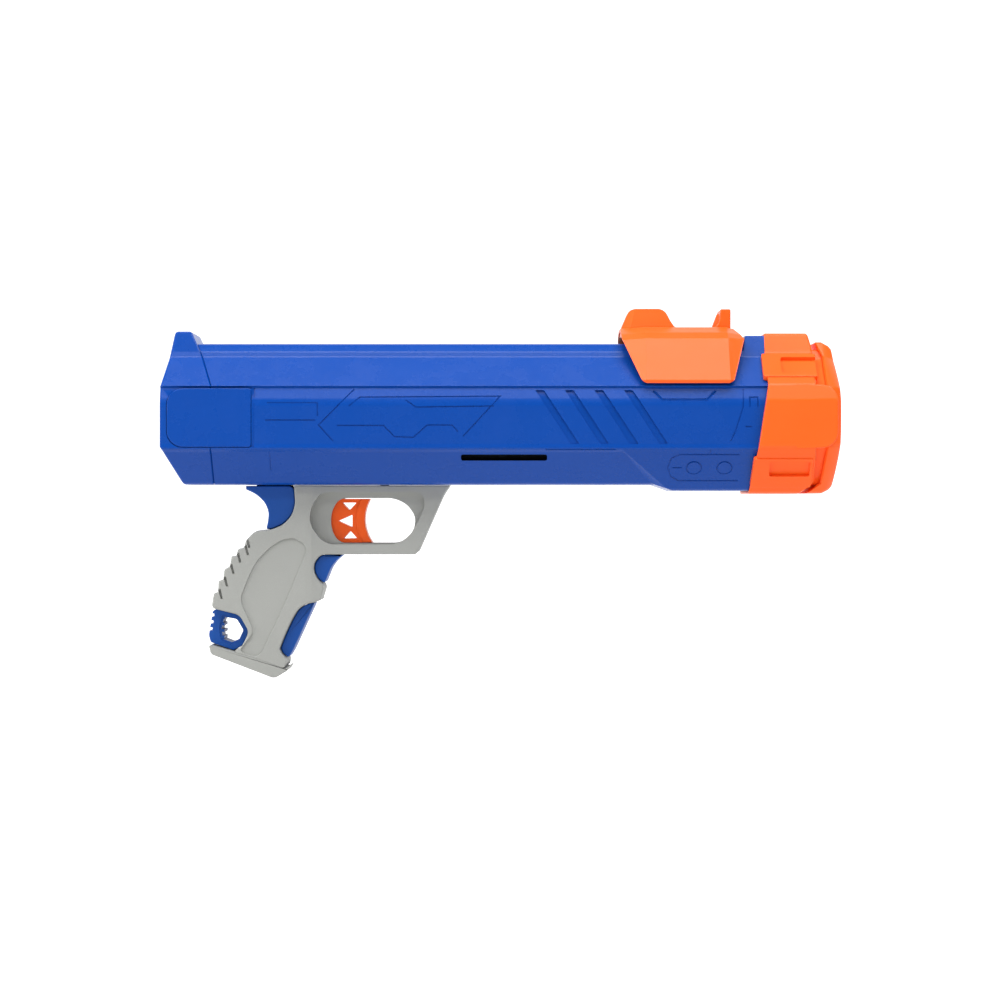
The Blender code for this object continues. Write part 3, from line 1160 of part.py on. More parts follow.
def make_muzzle_ring():
    """The orange ring: raised panels behind, a crowned rim in front, a bore for the ball."""
    big = whole(ring_half(0))
    small = whole(ring_half(RING_PANEL_RISE))
    rim = whole(ring_half(RING_PANEL_RISE + RIM_INSET))
    ring = loft("muzzle_ring", [
        section_ring(big, lambda z: FRONT_COLLAR_REAR),
        section_ring(big, lambda z: RING_STEP),
        section_ring(small, lambda z: RING_STEP + RING_STEP_LENGTH),
        section_ring(small, lambda z: rim_front(z) - RIM_DEPTH),
        section_ring(rim, rim_front),
    ], "orange_plastic")
    for side in (-1, 1):
        corners = [
            (RING_STEP - OVERRUN, -RING_RIDGE_BOTTOM), (CHEEK_FRONT, -RING_RIDGE_BOTTOM),
            (CHEEK_FRONT, RING_RIDGE_TOP), (RING_STEP - OVERRUN, RING_RIDGE_TOP),
        ]
        outline = rounded(corners, [0, CHEEK_RADIUS, CHEEK_RADIUS, 0], CORNER_STEPS)
        low = side * (RING_HALF_WIDTH - RING_PANEL_RISE - RING_PANEL_ROOT)
        join(ring, side_prism(f"ring_cheek_{side}", outline, low, side * RING_HALF_WIDTH))
    over = RING_TOP + OVERRUN
    under = -RING_BOTTOM - OVERRUN
    behind = FRONT_COLLAR_REAR - OVERRUN
    waste = [
        (behind, under), (ring_rear(under), under), (RING_REAR, RING_RIDGE_TOP),
        (RING_REAR, over), (behind, over),
    ]
    wide = RING_HALF_WIDTH + OVERRUN
    cut(ring, side_prism("ring_rear_waste", waste, -wide, wide))
    cut(ring, section_prism("ring_socket", collar_half(-GAP), behind, SHELL_FRONT + GAP))
    cut(ring, cylinder(
        "ring_bore", (FRONT_COLLAR_REAR, 0, 0), (LIP_REAR, 0, 0), BARREL_OUTER + GAP, BARREL_SIDES))
    cut(ring, cylinder(
        "ring_lip", (FRONT_COLLAR_REAR, 0, 0), (RING_FRONT + OVERRUN, 0, 0), LIP_RADIUS,
        BARREL_SIDES))
    for side in (-1, 1):
        cut(ring, facet_box(
            f"ring_upper_window_{side}", True, side, UPPER_WINDOW_REAR, UPPER_WINDOW_LENGTH,
            UPPER_WINDOW_HEIGHT, WINDOW_DEPTH))
        cut(ring, facet_box(
            f"ring_lower_window_{side}", False, side, LOWER_WINDOW_REAR, LOWER_WINDOW_LENGTH,
            LOWER_WINDOW_HEIGHT, WINDOW_DEPTH))
    for i, z in enumerate(RING_SCREW_Z):
        cut(ring, cylinder(
            f"ring_sink_{i}", (RING_SCREW_X, RING_SCREW_SEAT - GAP, z),
            (RING_SCREW_X, RING_HALF_WIDTH + OVERRUN, z), SCREW_SINK_RADIUS, SCREW_SIDES))
        hole_end = RING_SCREW_SEAT - RING_SCREW_LENGTH - GAP
        cut(ring, cylinder(
            f"ring_hole_{i}", (RING_SCREW_X, hole_end, z), (RING_SCREW_X, RING_SCREW_SEAT, z),
            SCREW_HOLE_RADIUS, SCREW_SIDES))


def make_retainer():
    """Soft ring of short fingers that holds a loaded ball."""
    profile = [
        (0, RETAINER_OUTER), (RETAINER_LENGTH, RETAINER_OUTER), (RETAINER_LENGTH, RETAINER_INNER),
        (0, RETAINER_INNER), (0, RETAINER_OUTER),
    ]
    rear = BARREL_FRONT + GAP
    ring = turned("ball_retainer", profile, BARREL_SIDES, (1, 0, 0), (rear, 0, 0), "dark_rubber")
    half = RETAINER_SLIT_WIDTH / 2
    for i in range(RETAINER_SLITS // 2):
        slit = box(
            f"retainer_slit_{i}", (rear - OVERRUN, -RETAINER_SLIT_ROOT, -half),
            (rear + RETAINER_LENGTH + OVERRUN, RETAINER_SLIT_ROOT, half))
        slit.data.transform(Matrix.Rotation(math.tau * (i + 0.5) / RETAINER_SLITS, 4, "X"))
        cut(ring, slit)


def grip_outline(shares):
    """Shares of the grip's reach and drop as X and Z."""
    return [(GRIP_REAR + GRIP_REACH * x, GRIP_DATUM - GRIP_DROP * z) for x, z in shares]


def narrow_guard(shell, side):
    """Draw the outer face in over the trigger guard, which is thinner than the grip."""
    step = GRIP_HALF - GUARD_HALF
    bm = bmesh.new()
    bm.from_mesh(shell.data)
    for x in (GRIP_BLEND_REAR, GRIP_BLEND_FRONT):
        geometry = list(bm.verts) + list(bm.edges) + list(bm.faces)
        bmesh.ops.bisect_plane(bm, geom=geometry, plane_co=(x, 0, 0), plane_no=(1, 0, 0))
    for vert in bm.verts:
        share = (vert.co.x - GRIP_BLEND_REAR) / (GRIP_BLEND_FRONT - GRIP_BLEND_REAR)
        if abs(vert.co.y) > GUARD_HALF * 0.5:
            vert.co.y -= side * step * min(max(share, 0), 1)
    bm.to_mesh(shell.data)
    bm.free()


def cut_grip_hollows(shell, side):
    """Room inside the grip for the core, the trigger, its spring and the sear."""
    name = shell.name
    inner = side * -OVERRUN
    hollow = side * (GRIP_HALF - GRIP_WALL)
    bay = side * BAY_HALF
    cut(shell, side_prism(f"{name}_hollow", grip_outline(HOLLOW_SHARES), inner, hollow))
    trigger_bay = [
        (TRIGGER_BAY_REAR, BAY_BOTTOM), (TRIGGER_BAY_FRONT, BAY_BOTTOM),
        (TRIGGER_BAY_FRONT, TRIGGER_TOP + GAP), (TRIGGER_BAY_REAR, TRIGGER_TOP + GAP),
    ]
    cut(shell, side_prism(f"{name}_trigger_bay", trigger_bay, inner, bay))
    sear_bay = [
        (SEAR_BAY_REAR, GRIP_DATUM + OVERRUN), (SEAR_BAY_REAR, TRIGGER_TOP),
        (TRIGGER_BAY_FRONT, TRIGGER_TOP), (TRIGGER_BAY_FRONT, SEAR_BAY_BOTTOM),
        (SEAR_BAY_FRONT, SEAR_BAY_BOTTOM), (SEAR_BAY_FRONT, GRIP_DATUM + OVERRUN),
    ]
    cut(shell, side_prism(f"{name}_sear_bay", sear_bay, inner, bay))
    pin_end = side * (SEAR_PIN_HALF + GAP)
    cut(shell, cylinder(
        f"{name}_pin_hole", (SEAR_X, inner, SEAR_Z), (SEAR_X, pin_end, SEAR_Z),
        SEAR_HOLE_RADIUS, SCREW_SIDES))


def seated(shares):
    """An outline that meets the grip's edge, drawn in to leave a gap to it."""
    return grown(grip_outline(shares), -GAP)


def cut_grip_openings(shell, side):
    """The sunk pocket round the trigger, and the finger hole through it."""
    far = side * (GRIP_HALF + OVERRUN)
    floor = side * POCKET_FLOOR
    cut(shell, side_prism(f"{shell.name}_pocket", grip_outline(POCKET_SHARES), floor, far))
    cut(shell, side_prism(
        f"{shell.name}_finger", grip_outline(FINGER_SHARES), side * -OVERRUN, far))


def grip_face(x):
    """Half thickness of the grip or guard at a place along X."""
    share = (x - GRIP_BLEND_REAR) / (GRIP_BLEND_FRONT - GRIP_BLEND_REAR)
    return GRIP_HALF - (GRIP_HALF - GUARD_HALF) * min(max(share, 0), 1)


def cut_grip_screws(shell, side):
    for i, (x, z) in enumerate(grip_outline(GRIP_SCREW_SPOT_SHARES)):
        seat = grip_face(x) - GRIP_SCREW_SINK
        if side > 0:
            cut(shell, cylinder(
                f"{shell.name}_sink_{i}", (x, seat - GAP, z), (x, GRIP_HALF + OVERRUN, z),
                SCREW_SINK_RADIUS, SCREW_SIDES))
            cut(shell, cylinder(
                f"{shell.name}_hole_{i}", (x, -OVERRUN, z), (x, seat, z),
                SCREW_HOLE_RADIUS, SCREW_SIDES))
        else:
            cut(shell, cylinder(
                f"{shell.name}_hole_{i}", (x, OVERRUN, z),
                (x, seat - GRIP_SCREW_LENGTH - GAP, z), SCREW_HOLE_RADIUS, SCREW_SIDES))


def make_grip_shells():
    outline = grip_outline(GRIP_SHARES)
    for name, side in (("grip_shell_right", -1), ("grip_shell_left", 1)):
        shell = side_prism(
            name, outline, side * GAP / 2, side * GRIP_HALF, "grey_plastic", edge=GRIP_EDGE)
        narrow_guard(shell, side)
        cut_grip_hollows(shell, side)
        cut_grip_openings(shell, side)
        cut_grip_screws(shell, side)


def make_grip_core():
    """Blue core: a flange inside the body, the tang behind, and a spine down the grip."""
    core = side_prism(
        "grip_core", seated(TANG_SEAT_SHARES + TANG_REAR_SHARES), -TANG_HALF, TANG_HALF, "insert_blue",
        edge=INSERT_EDGE, edge_both=True)
    join(core, side_prism("core_spine", grip_outline(SPINE_SHARES), -SPINE_HALF, SPINE_HALF))
    floor = -BODY_BOTTOM + SHELL_WALL
    join(core, box(
        "core_neck", (NECK_REAR, -NECK_HALF, GRIP_DATUM - OVERRUN),
        (NECK_FRONT, NECK_HALF, floor + FLANGE_THICKNESS)))
    join(core, box(
        "core_flange", (NECK_REAR - FLANGE_OVERHANG, -FLANGE_HALF, floor + GAP),
        (NECK_FRONT + FLANGE_OVERHANG, FLANGE_HALF, floor + GAP + FLANGE_THICKNESS)))


def make_inserts():
    """Blue pads let into the front of the grip."""
    spots = (("front_insert_upper", UPPER_INSERT_SHARES), ("front_insert_lower", LOWER_INSERT_SHARES))
    for name, shares in spots:
        side_prism(
            name, seated(shares), -INSERT_HALF, INSERT_HALF, "insert_blue",
            edge=INSERT_EDGE, edge_both=True)


def make_loop():
    """The lanyard loop behind the grip's foot."""
    loop = side_prism(
        "lanyard_loop", seated(LOOP_SHARES), -LOOP_HALF, LOOP_HALF, "insert_blue",
        edge=INSERT_EDGE, edge_both=True)
    far = LOOP_HALF + OVERRUN
    cut(loop, side_prism("loop_hole", grip_outline(LOOP_HOLE_SHARES), -far, far))


def make_base():
    """Grey cap that closes the grip's foot."""
    side_prism(
        "grip_base_cap", seated(BASE_SHARES), -GRIP_HALF, GRIP_HALF, "grey_plastic",
        edge=INSERT_EDGE, edge_both=True)


def trigger_point(share):
    return (TRIGGER_REAR + TRIGGER_LENGTH * share[0], TRIGGER_TOP - TRIGGER_HEIGHT * share[1])


def make_trigger():
    """The orange trigger, which slides back between the grip's halves."""
    outline = [trigger_point(share) for share in TRIGGER_SHARES]
    trigger = side_prism("trigger", outline, -TRIGGER_HALF, TRIGGER_HALF, "orange_plastic")
    for i, shares in enumerate(TRIGGER_HOLE_SHARES):
        hole = [trigger_point(share) for share in shares]
        far = TRIGGER_HALF + OVERRUN
        cut(trigger, side_prism(f"trigger_hole_{i}", hole, -far, far))
    cut(trigger, cylinder(
        "trigger_bore", (TRIGGER_REAR - OVERRUN, 0, TRIGGER_SPRING_HEIGHT),
        (TRIGGER_REAR + TRIGGER_BORE_DEPTH, 0, TRIGGER_SPRING_HEIGHT),
        TRIGGER_BORE_RADIUS, SCREW_SIDES))
    set_origin(trigger, (TRIGGER_REAR, 0, TRIGGER_SPRING_HEIGHT))


def make_sear():
    """Lever that catches the plunger's lug; the trigger lifts its tail."""
    outline = [
        (SEAR_X + SEAR_REACH * x, SEAR_Z + SEAR_NOSE_RISE * z) for x, z in SEAR_SHARES
    ]
    sear = side_prism("sear", outline, -SEAR_HALF, SEAR_HALF, "steel")
    far = SEAR_HALF + OVERRUN
    cut(sear, cylinder(
        "sear_hole", (SEAR_X, -far, SEAR_Z), (SEAR_X, far, SEAR_Z), SEAR_HOLE_RADIUS, SCREW_SIDES))
    set_origin(sear, (SEAR_X, 0, SEAR_Z))
    cylinder(
        "sear_pin", (SEAR_X, -SEAR_PIN_HALF, SEAR_Z), (SEAR_X, SEAR_PIN_HALF, SEAR_Z),
        SEAR_PIN_RADIUS, SCREW_SIDES, "steel")


def make_screw(name, seat, direction, length):
    """A pan-head screw; its head sits on the seat and its shank runs along direction."""
    profile = [
        (-SCREW_HEAD_HEIGHT, SCREW_HEAD_RADIUS), (0, SCREW_HEAD_RADIUS),
        (0, SCREW_SHANK_RADIUS), (length, SCREW_SHANK_RADIUS),
    ]
    return turned(name, profile, SCREW_SIDES, direction, seat, "steel")


def make_screws():
    into = (0, -1, 0)
    for i, (x, z) in enumerate(screw_spots(BODY_SCREW_X, BODY_SCREW_Z)):
        make_screw(f"body_screw_{i + 1}", (x, BODY_SCREW_SEAT, z), into, BODY_SCREW_LENGTH)
    for i, (x, z) in enumerate(grip_outline(GRIP_SCREW_SPOT_SHARES)):
        seat = grip_face(x) - GRIP_SCREW_SINK
        make_screw(f"grip_screw_{i + 1}", (x, seat, z), into, GRIP_SCREW_LENGTH)
    for i, z in enumerate(RING_SCREW_Z):
        seat = (RING_SCREW_X, RING_SCREW_SEAT, z)
        make_screw(f"ring_screw_{i + 1}", seat, into, RING_SCREW_LENGTH)
    for i, x in enumerate(carriage_screw_places()):
        seat = (x, 0, CARRIAGE_SCREW_SEAT)
        screw = make_screw(f"carriage_screw_{i + 1}", seat, (0, 0, -1), CARRIAGE_SCREW_LENGTH)
        set_origin(screw, (HANDLE_STEM_REAR, 0, BODY_TOP))
    seat = (PLUNGER_FRONT + GAP, 0, 0)
    screw = make_screw("pad_screw", seat, (-1, 0, 0), PAD_SCREW_LENGTH)
    set_origin(screw, (PLUNGER_FRONT, 0, 0))


def build():
    for obj in list(bpy.data.objects):
        bpy.data.objects.remove(obj, do_unlink=True)
    make_body()
    make_rear_cap()
    make_plates()
    make_bulkhead()
    make_guide_rod()
    make_barrel_plate()
    make_barrel()
    make_plunger()
    make_pad()
    make_springs()
    make_handle()
    make_carriage()
    make_muzzle_ring()
    make_retainer()
    make_grip_shells()
    make_grip_core()
    make_inserts()
    make_loop()
    make_base()
    make_trigger()
    make_sear()
    make_screws()


build()
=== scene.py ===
# %% [markdown]
# # A spring-driven ball launcher for dogs
#
# This script dresses a finished frame. The frame holds every part of the launcher at its
# real size, with its joints, and stays as it is. Each cell below makes one visible piece
# finer, or gives one finish. The numbers are millimetres, because the real mould drawings
# would be in millimetres too; a mesh is scaled to Blender's metres when it is finished.
# +X runs along the barrel to the muzzle and +Z points up. The side seen first is -Y.

# %% Load the frame
import json
import math

import bmesh
import bpy
from mathutils import Matrix, Vector


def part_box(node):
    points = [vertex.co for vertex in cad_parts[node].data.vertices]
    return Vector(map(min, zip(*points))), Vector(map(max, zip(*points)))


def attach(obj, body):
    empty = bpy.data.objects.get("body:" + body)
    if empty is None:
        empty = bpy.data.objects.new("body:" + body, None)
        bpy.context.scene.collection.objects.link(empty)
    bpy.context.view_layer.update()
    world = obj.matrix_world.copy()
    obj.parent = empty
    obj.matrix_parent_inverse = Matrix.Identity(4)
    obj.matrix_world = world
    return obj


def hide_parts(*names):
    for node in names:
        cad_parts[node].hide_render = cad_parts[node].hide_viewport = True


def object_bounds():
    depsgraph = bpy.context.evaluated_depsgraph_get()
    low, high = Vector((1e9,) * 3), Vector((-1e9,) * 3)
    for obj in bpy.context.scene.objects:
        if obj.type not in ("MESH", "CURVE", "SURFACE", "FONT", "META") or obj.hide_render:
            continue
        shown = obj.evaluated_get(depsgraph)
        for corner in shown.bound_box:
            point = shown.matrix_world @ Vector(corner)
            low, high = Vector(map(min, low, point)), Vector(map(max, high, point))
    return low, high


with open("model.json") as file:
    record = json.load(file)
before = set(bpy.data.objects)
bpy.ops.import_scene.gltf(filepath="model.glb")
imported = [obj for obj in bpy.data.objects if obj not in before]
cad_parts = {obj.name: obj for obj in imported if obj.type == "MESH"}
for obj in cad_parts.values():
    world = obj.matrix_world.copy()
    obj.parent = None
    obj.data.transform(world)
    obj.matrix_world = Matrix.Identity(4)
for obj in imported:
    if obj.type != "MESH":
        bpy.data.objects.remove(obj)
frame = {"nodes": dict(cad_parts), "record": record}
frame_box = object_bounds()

MM = 0.001

# %% [markdown]
# ## Reading sizes from the frame
#
# A piece that replaces a part of the frame has to end where that part ends. So the frame's
# boxes are read first, in millimetres, and the sizes that follow are worked out from them.

# %% Sizes from the frame
def box_mm(node):
    """The lowest and highest corner of one part of the frame, in millimetres."""
    low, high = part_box(node)
    return Vector(low) / MM, Vector(high) / MM


casing_low, casing_high = box_mm("body_shell_right")
cap_high = box_mm("rear_cap")[1]
ring_high = box_mm("muzzle_ring")[1]
grip_low = box_mm("grip_shell_right")[0]
plate_low, plate_high = box_mm("side_plate_right")
trigger_low, trigger_high = box_mm("trigger")
barrel_low, barrel_high = box_mm("barrel_tube")
SIDE_NAMES = {-1: "right", 1: "left"}
SEAM = 0.3
COLLAR_RISE = 4.7
FAIRING_DROP = 3.6
SIDE = round(-casing_low.y - SEAM / 2, 2)
CASING_FRONT = casing_high.x
COLLAR_TOP = casing_high.z
FAIRING_BOTTOM = casing_low.z
BODY_TOP = COLLAR_TOP - COLLAR_RISE
BODY_BOTTOM = FAIRING_BOTTOM + FAIRING_DROP
print(f"half width {SIDE:.1f}, top {BODY_TOP:.1f}, bottom {BODY_BOTTOM:.1f}, front {CASING_FRONT:.1f}")

# %% [markdown]
# ## Shaping helpers
#
# The casing, the cap, the ring and the saddle are all long mouldings with one section that
# changes a little on the way. In Blender that is a few lines of vertices, rounded with a
# vertex bevel and joined with Bridge. Everything flat on its sides, such as the grip, is an
# outline that is extruded across.

# %% Lines of a section, and skin between them
ARC_STEPS = 4
MERGE = 0.001
SEAM_MERGE = 0.01
LONG_FLAT = 4.0


def bevel(bm, geom, offset, segments, affect="EDGES"):
    """The bevel operator with the settings that the whole model shares."""
    return bmesh.ops.bevel(
        bm, geom=geom, offset=offset, segments=segments, profile=0.5, affect=affect,
        clamp_overlap=affect == "VERTICES", material=-1)


def section_line(bm, corners, bends, x_at, side, cuts=0):
    """Draw a section's corners (y, z) as a line, round them, and set X from the height."""
    verts = [bm.verts.new((0, side * y, z)) for y, z in corners]
    old = set(bm.edges)
    for pair in zip(verts, verts[1:]):
        bm.edges.new(pair)
    for corner, bend in bends.items():
        bevel(bm, [verts[corner]], bend, ARC_STEPS, "VERTICES")
    line = [e for e in bm.edges if e not in old]
    if cuts:
        long = [e for e in line if e.calc_length() > LONG_FLAT]
        bmesh.ops.subdivide_edges(bm, edges=long, cuts=cuts)
        line = [e for e in bm.edges if e not in old]
    for vert in {v for e in line for v in e.verts}:
        vert.co.x = x_at(vert.co.z)
    return line


def skin(bm, lines):
    """Bridge each line to the next."""
    for a, b in zip(lines, lines[1:]):
        bmesh.ops.bridge_loops(bm, edges=a + b)


# %% Outlines, blocks and turned shapes
def slab(bm, outline, low, high, bends=None, steps=ARC_STEPS):
    """Extrude an outline (x, z) along Y; bends rounds chosen corners of the outline first."""
    old = set(bm.faces)
    verts = [bm.verts.new((x, low, z)) for x, z in outline]
    bm.faces.new(verts)
    for corner, bend in (bends or {}).items():
        bevel(bm, [verts[corner]], bend, steps, "VERTICES")
    face = [f for f in bm.faces if f not in old]
    grown = bmesh.ops.extrude_face_region(bm, geom=face)["geom"]
    far = [v for v in grown if isinstance(v, bmesh.types.BMVert)]
    bmesh.ops.translate(bm, verts=far, vec=(0, high - low, 0))
    return [v for f in bm.faces if f not in old for v in f.verts]


def block(bm, low, high):
    """A box between two corners."""
    low, high = Vector(low), Vector(high)
    place = Matrix.Translation((low + high) / 2) @ Matrix.Diagonal((*(high - low), 1))
    return bmesh.ops.create_cube(bm, size=1, matrix=place)["verts"]


def turned(bm, profile, sides, place=Matrix()):
    """Spin a profile of (x, radius) right round the X axis, then put it in place."""
    old = set(bm.verts)
    verts = [bm.verts.new((x, 0, r)) for x, r in profile]
    edges = [bm.edges.new(pair) for pair in zip(verts, verts[1:])]
    bmesh.ops.spin(
        bm, geom=verts + edges, cent=(0, 0, 0), axis=(1, 0, 0), angle=math.tau, steps=sides,
        use_merge=True)
    fresh = [v for v in bm.verts if v not in old]
    bmesh.ops.remove_doubles(bm, verts=fresh, dist=MERGE)
    fresh = [v for v in bm.verts if v not in old]
    bmesh.ops.transform(bm, matrix=place, verts=fresh)
    return fresh


def rectangle(x0, z0, x1, z1):
    """The outline of an upright rectangle between two corners."""
    return [(x0, z0), (x1, z0), (x1, z1), (x0, z1)]


# %% Choosing edges, splitting faces and closing rims
def sharp_edges(bm, angle, keep=lambda edge: True):
    """Edges that turn by more than an angle and pass a test."""
    return [
        e for e in bm.edges
        if len(e.link_faces) == 2 and e.calc_face_angle() > math.radians(angle) and keep(e)
    ]


def beyond(limit):
    """A test for edges that lie further out on a side than a limit."""
    return lambda edge: all(abs(v.co.y) > limit for v in edge.verts)


def lengthwise(edge):
    """A test for edges that run along a side face and not across the piece."""
    return abs(edge.verts[0].co.y - edge.verts[1].co.y) < SEAM_MERGE


def split_at(bm, spot, normal):
    """Cut faces along a plane and keep both parts, so that the piece can bend there."""
    bmesh.ops.bisect_plane(
        bm, geom=bm.verts[:] + bm.edges[:] + bm.faces[:], plane_co=spot, plane_no=normal)


def close_rims(bm):
    """Fill every open rim with a face."""
    bmesh.ops.holes_fill(bm, edges=[e for e in bm.edges if e.is_boundary])


# %% [markdown]
# ## From bmesh to pieces
#
# A moulded part has openings, pockets and engraved lines. The Boolean modifier cuts them
# and is applied at once, so the file keeps no cutters. Its edges come out hard, so the main
# edges are bevelled before the cuts, where the mesh is still clean.

# %% Pieces, cuts and welds
def piece(name, bm):
    """Turn a bmesh in millimetres into an object in metres."""
    bmesh.ops.remove_doubles(bm, verts=bm.verts, dist=MERGE)
    bmesh.ops.recalc_face_normals(bm, faces=bm.faces)
    bmesh.ops.scale(bm, vec=(MM, MM, MM), verts=bm.verts)
    mesh = bpy.data.meshes.new(name)
    bm.to_mesh(mesh)
    bm.free()
    obj = bpy.data.objects.new(name, mesh)
    bpy.context.scene.collection.objects.link(obj)
    return obj


def settle(obj):
    """Swap a piece's mesh for what its modifiers make of it."""
    graph = bpy.context.evaluated_depsgraph_get()
    made = bpy.data.meshes.new_from_object(obj.evaluated_get(graph))
    old = obj.data
    obj.modifiers.clear()
    obj.data = made
    bpy.data.meshes.remove(old)
    made.name = obj.name


def combine(obj, tool, operation, own=False):
    """Cut or weld with an exact Boolean, then throw the tool away."""
    modifier = obj.modifiers.new("boolean", "BOOLEAN")
    modifier.operation = operation
    modifier.solver = "EXACT"
    modifier.use_self = own
    modifier.object = tool
    settle(obj)
    mesh = tool.data
    bpy.data.objects.remove(tool)
    bpy.data.meshes.remove(mesh)


def carve(obj, bm, own=False):
    """Cut a bmesh out of a piece; own is for a cutter whose blocks cross each other."""
    combine(obj, piece("tool", bm), "DIFFERENCE", own)


def weld(obj, bm):
    """Join a bmesh to a piece."""
    combine(obj, piece("tool", bm), "UNION")


# %% Shading of a finished piece
SHARP_ANGLE = 32


def smooth(obj, edge=0.0):
    """Shade round edges smooth and keep flat faces flat; edge takes off the hard corners."""
    obj.data.shade_smooth()
    obj.data.set_sharp_from_angle(angle=math.radians(SHARP_ANGLE))
    if edge:
        corner = obj.modifiers.new("corners", "BEVEL")
        corner.width = edge * MM
        corner.segments = 2
        corner.limit_method = "ANGLE"
        corner.angle_limit = math.radians(SHARP_ANGLE)
        corner.harden_normals = False
    weighted = obj.modifiers.new("flat_faces", "WEIGHTED_NORMAL")
    weighted.keep_sharp = True
    weighted.weight = 100


# %% [markdown]
# ## Shader maths as Python
#
# A finish is easier to read as a formula than as a picture of wires. `Link` wraps one node
# socket, so that `1 - grain * 0.5` adds its two Math nodes by itself. `Finish` adds every
# other node with one method.

# %% Sockets that take arithmetic
class Link:
    """A value in a material that plain arithmetic works on."""

    def __init__(self, finish, socket):
        self.finish = finish
        self.socket = socket

    def _maths(self, operation, first, second):
        return self.finish.add("ShaderNodeMath", {"operation": operation}, {0: first, 1: second})

    def __add__(self, other):
        return self._maths("ADD", self, other)

    def __radd__(self, other):
        return self._maths("ADD", other, self)

    def __sub__(self, other):
        return self._maths("SUBTRACT", self, other)

    def __rsub__(self, other):
        return self._maths("SUBTRACT", other, self)

    def __mul__(self, other):
        return self._maths("MULTIPLY", self, other)

    def __rmul__(self, other):
        return self._maths("MULTIPLY", other, self)


class Finish:
    """A material that is built node by node."""

    def __init__(self, name):
        self.material = bpy.data.materials.new(name)
        self.material.use_nodes = True
        self.tree = self.material.node_tree
        self.shader = self.tree.nodes["Principled BSDF"]
        self.place = self.add("ShaderNodeTexCoord", output="Object")

    def add(self, kind, settings=None, inputs=None, output=0):
        """Add a node: its settings first, then a value or a link for each socket."""
        node = self.tree.nodes.new(kind)
        for key, value in (settings or {}).items():
            setattr(node, key, value)
        for key, value in (inputs or {}).items():
            self.feed(node.inputs[key], value)
        return Link(self, node.outputs[output])

    def feed(self, socket, value):
        if isinstance(value, Link):
            self.tree.links.new(value.socket, socket)
        else:
            socket.default_value = value

    def noise(self, scale, detail=2.0, roughness=0.5, stretch=None):
        """Noise in object space; stretch draws it out along an axis."""
        place = self.place
        if stretch:
            place = self.add("ShaderNodeMapping", {}, {"Vector": place, "Scale": stretch})
        return self.add("ShaderNodeTexNoise", {}, {
            "Vector": place, "Scale": scale, "Detail": detail, "Roughness": roughness})

    def blend(self, factor, first, second):
        """Mix two colours by a factor."""
        return self.add(
            "ShaderNodeMix", {"data_type": "RGBA"}, {0: factor, 6: first, 7: second}, output=2)

    def ramp(self, value, low, high):
        """Stretch a range of values to 0 and 1."""
        return self.add("ShaderNodeMapRange", {"clamp": True}, {
            "Value": value, "From Min": low, "From Max": high})

    def bump(self, height, distance):
        """Turn a height into a direction of the surface; the distance is in metres."""
        return self.add("ShaderNodeBump", {}, {"Height": height, "Distance": distance})

    def set(self, **sockets):
        """Set the shader's own sockets; an underscore stands for a space."""
        for key, value in sockets.items():
            self.feed(self.shader.inputs[key.replace("_", " ")], value)


FINISHES = {}

# %% [markdown]
# ## Moulded gloss: the blue casing and the orange parts
#
# Both are dyed plastic from polished moulds. The colour runs through, so it is one colour
# with only a faint cloudiness where the melt flowed. The gloss comes from low roughness,
# but a real moulding is never a mirror: it has a soft waviness from shrinking, a fine
# orange peel, and a film of handling that dulls it in patches. Three noises at three
# scales give these.

# %% Gloss plastic
def gloss_plastic(slot, colour, deep, roughness, peel):
    finish = Finish(slot)
    flow = finish.noise(14.0, 3.0, stretch=(1.0, 2.5, 2.5))
    film = finish.ramp(finish.noise(55.0, 5.0, 0.6), 0.42, 0.72)
    wave = finish.noise(90.0, 1.0)
    fine = finish.noise(1500.0, 2.0)
    finish.set(
        Base_Color=finish.blend(flow, (*colour, 1), (*deep, 1)),
        Roughness=roughness + film * 0.07 + fine * 0.03,
        Specular_IOR_Level=0.25,
        Normal=finish.bump(wave * 0.8 + fine * 0.2, peel))
    FINISHES[slot] = finish.material


gloss_plastic("blue_plastic", (0.001, 0.057, 0.335), (0.001, 0.050, 0.305), 0.24, 0.00006)
gloss_plastic("orange_plastic", (1.0, 0.128, 0.012), (0.96, 0.106, 0.008), 0.30, 0.00005)
print("gloss finishes:", ", ".join(FINISHES))

# %% [markdown]
# ## Fine texture: the grey grip and the soft blue inserts
#
# The grip's mould is spark-eroded, which leaves a fine, even grain that scatters light. Two
# noises make it: one for the grain's peaks, as bump, and one for tiny paler specks, where
# the grain's tops have rubbed. The inserts have the same grain, softer.

# %% Textured plastic
def textured_plastic(slot, colour, deep, roughness, grain_depth, speck):
    finish = Finish(slot)
    cloud = finish.noise(22.0, 4.0)
    grain = finish.noise(2600.0, 3.0, 0.65)
    specks = finish.ramp(grain, 0.52, 0.70)
    base = finish.blend(cloud, (*colour, 1), (*deep, 1))
    pale = [min(c * 1.18 + 0.01, 1) for c in colour]
    finish.set(
        Base_Color=finish.blend(specks * speck, base, (*pale, 1)),
        Roughness=roughness + specks * 0.10 - cloud * 0.05,
        Specular_IOR_Level=0.3,
        Normal=finish.bump(grain, grain_depth))
    FINISHES[slot] = finish.material


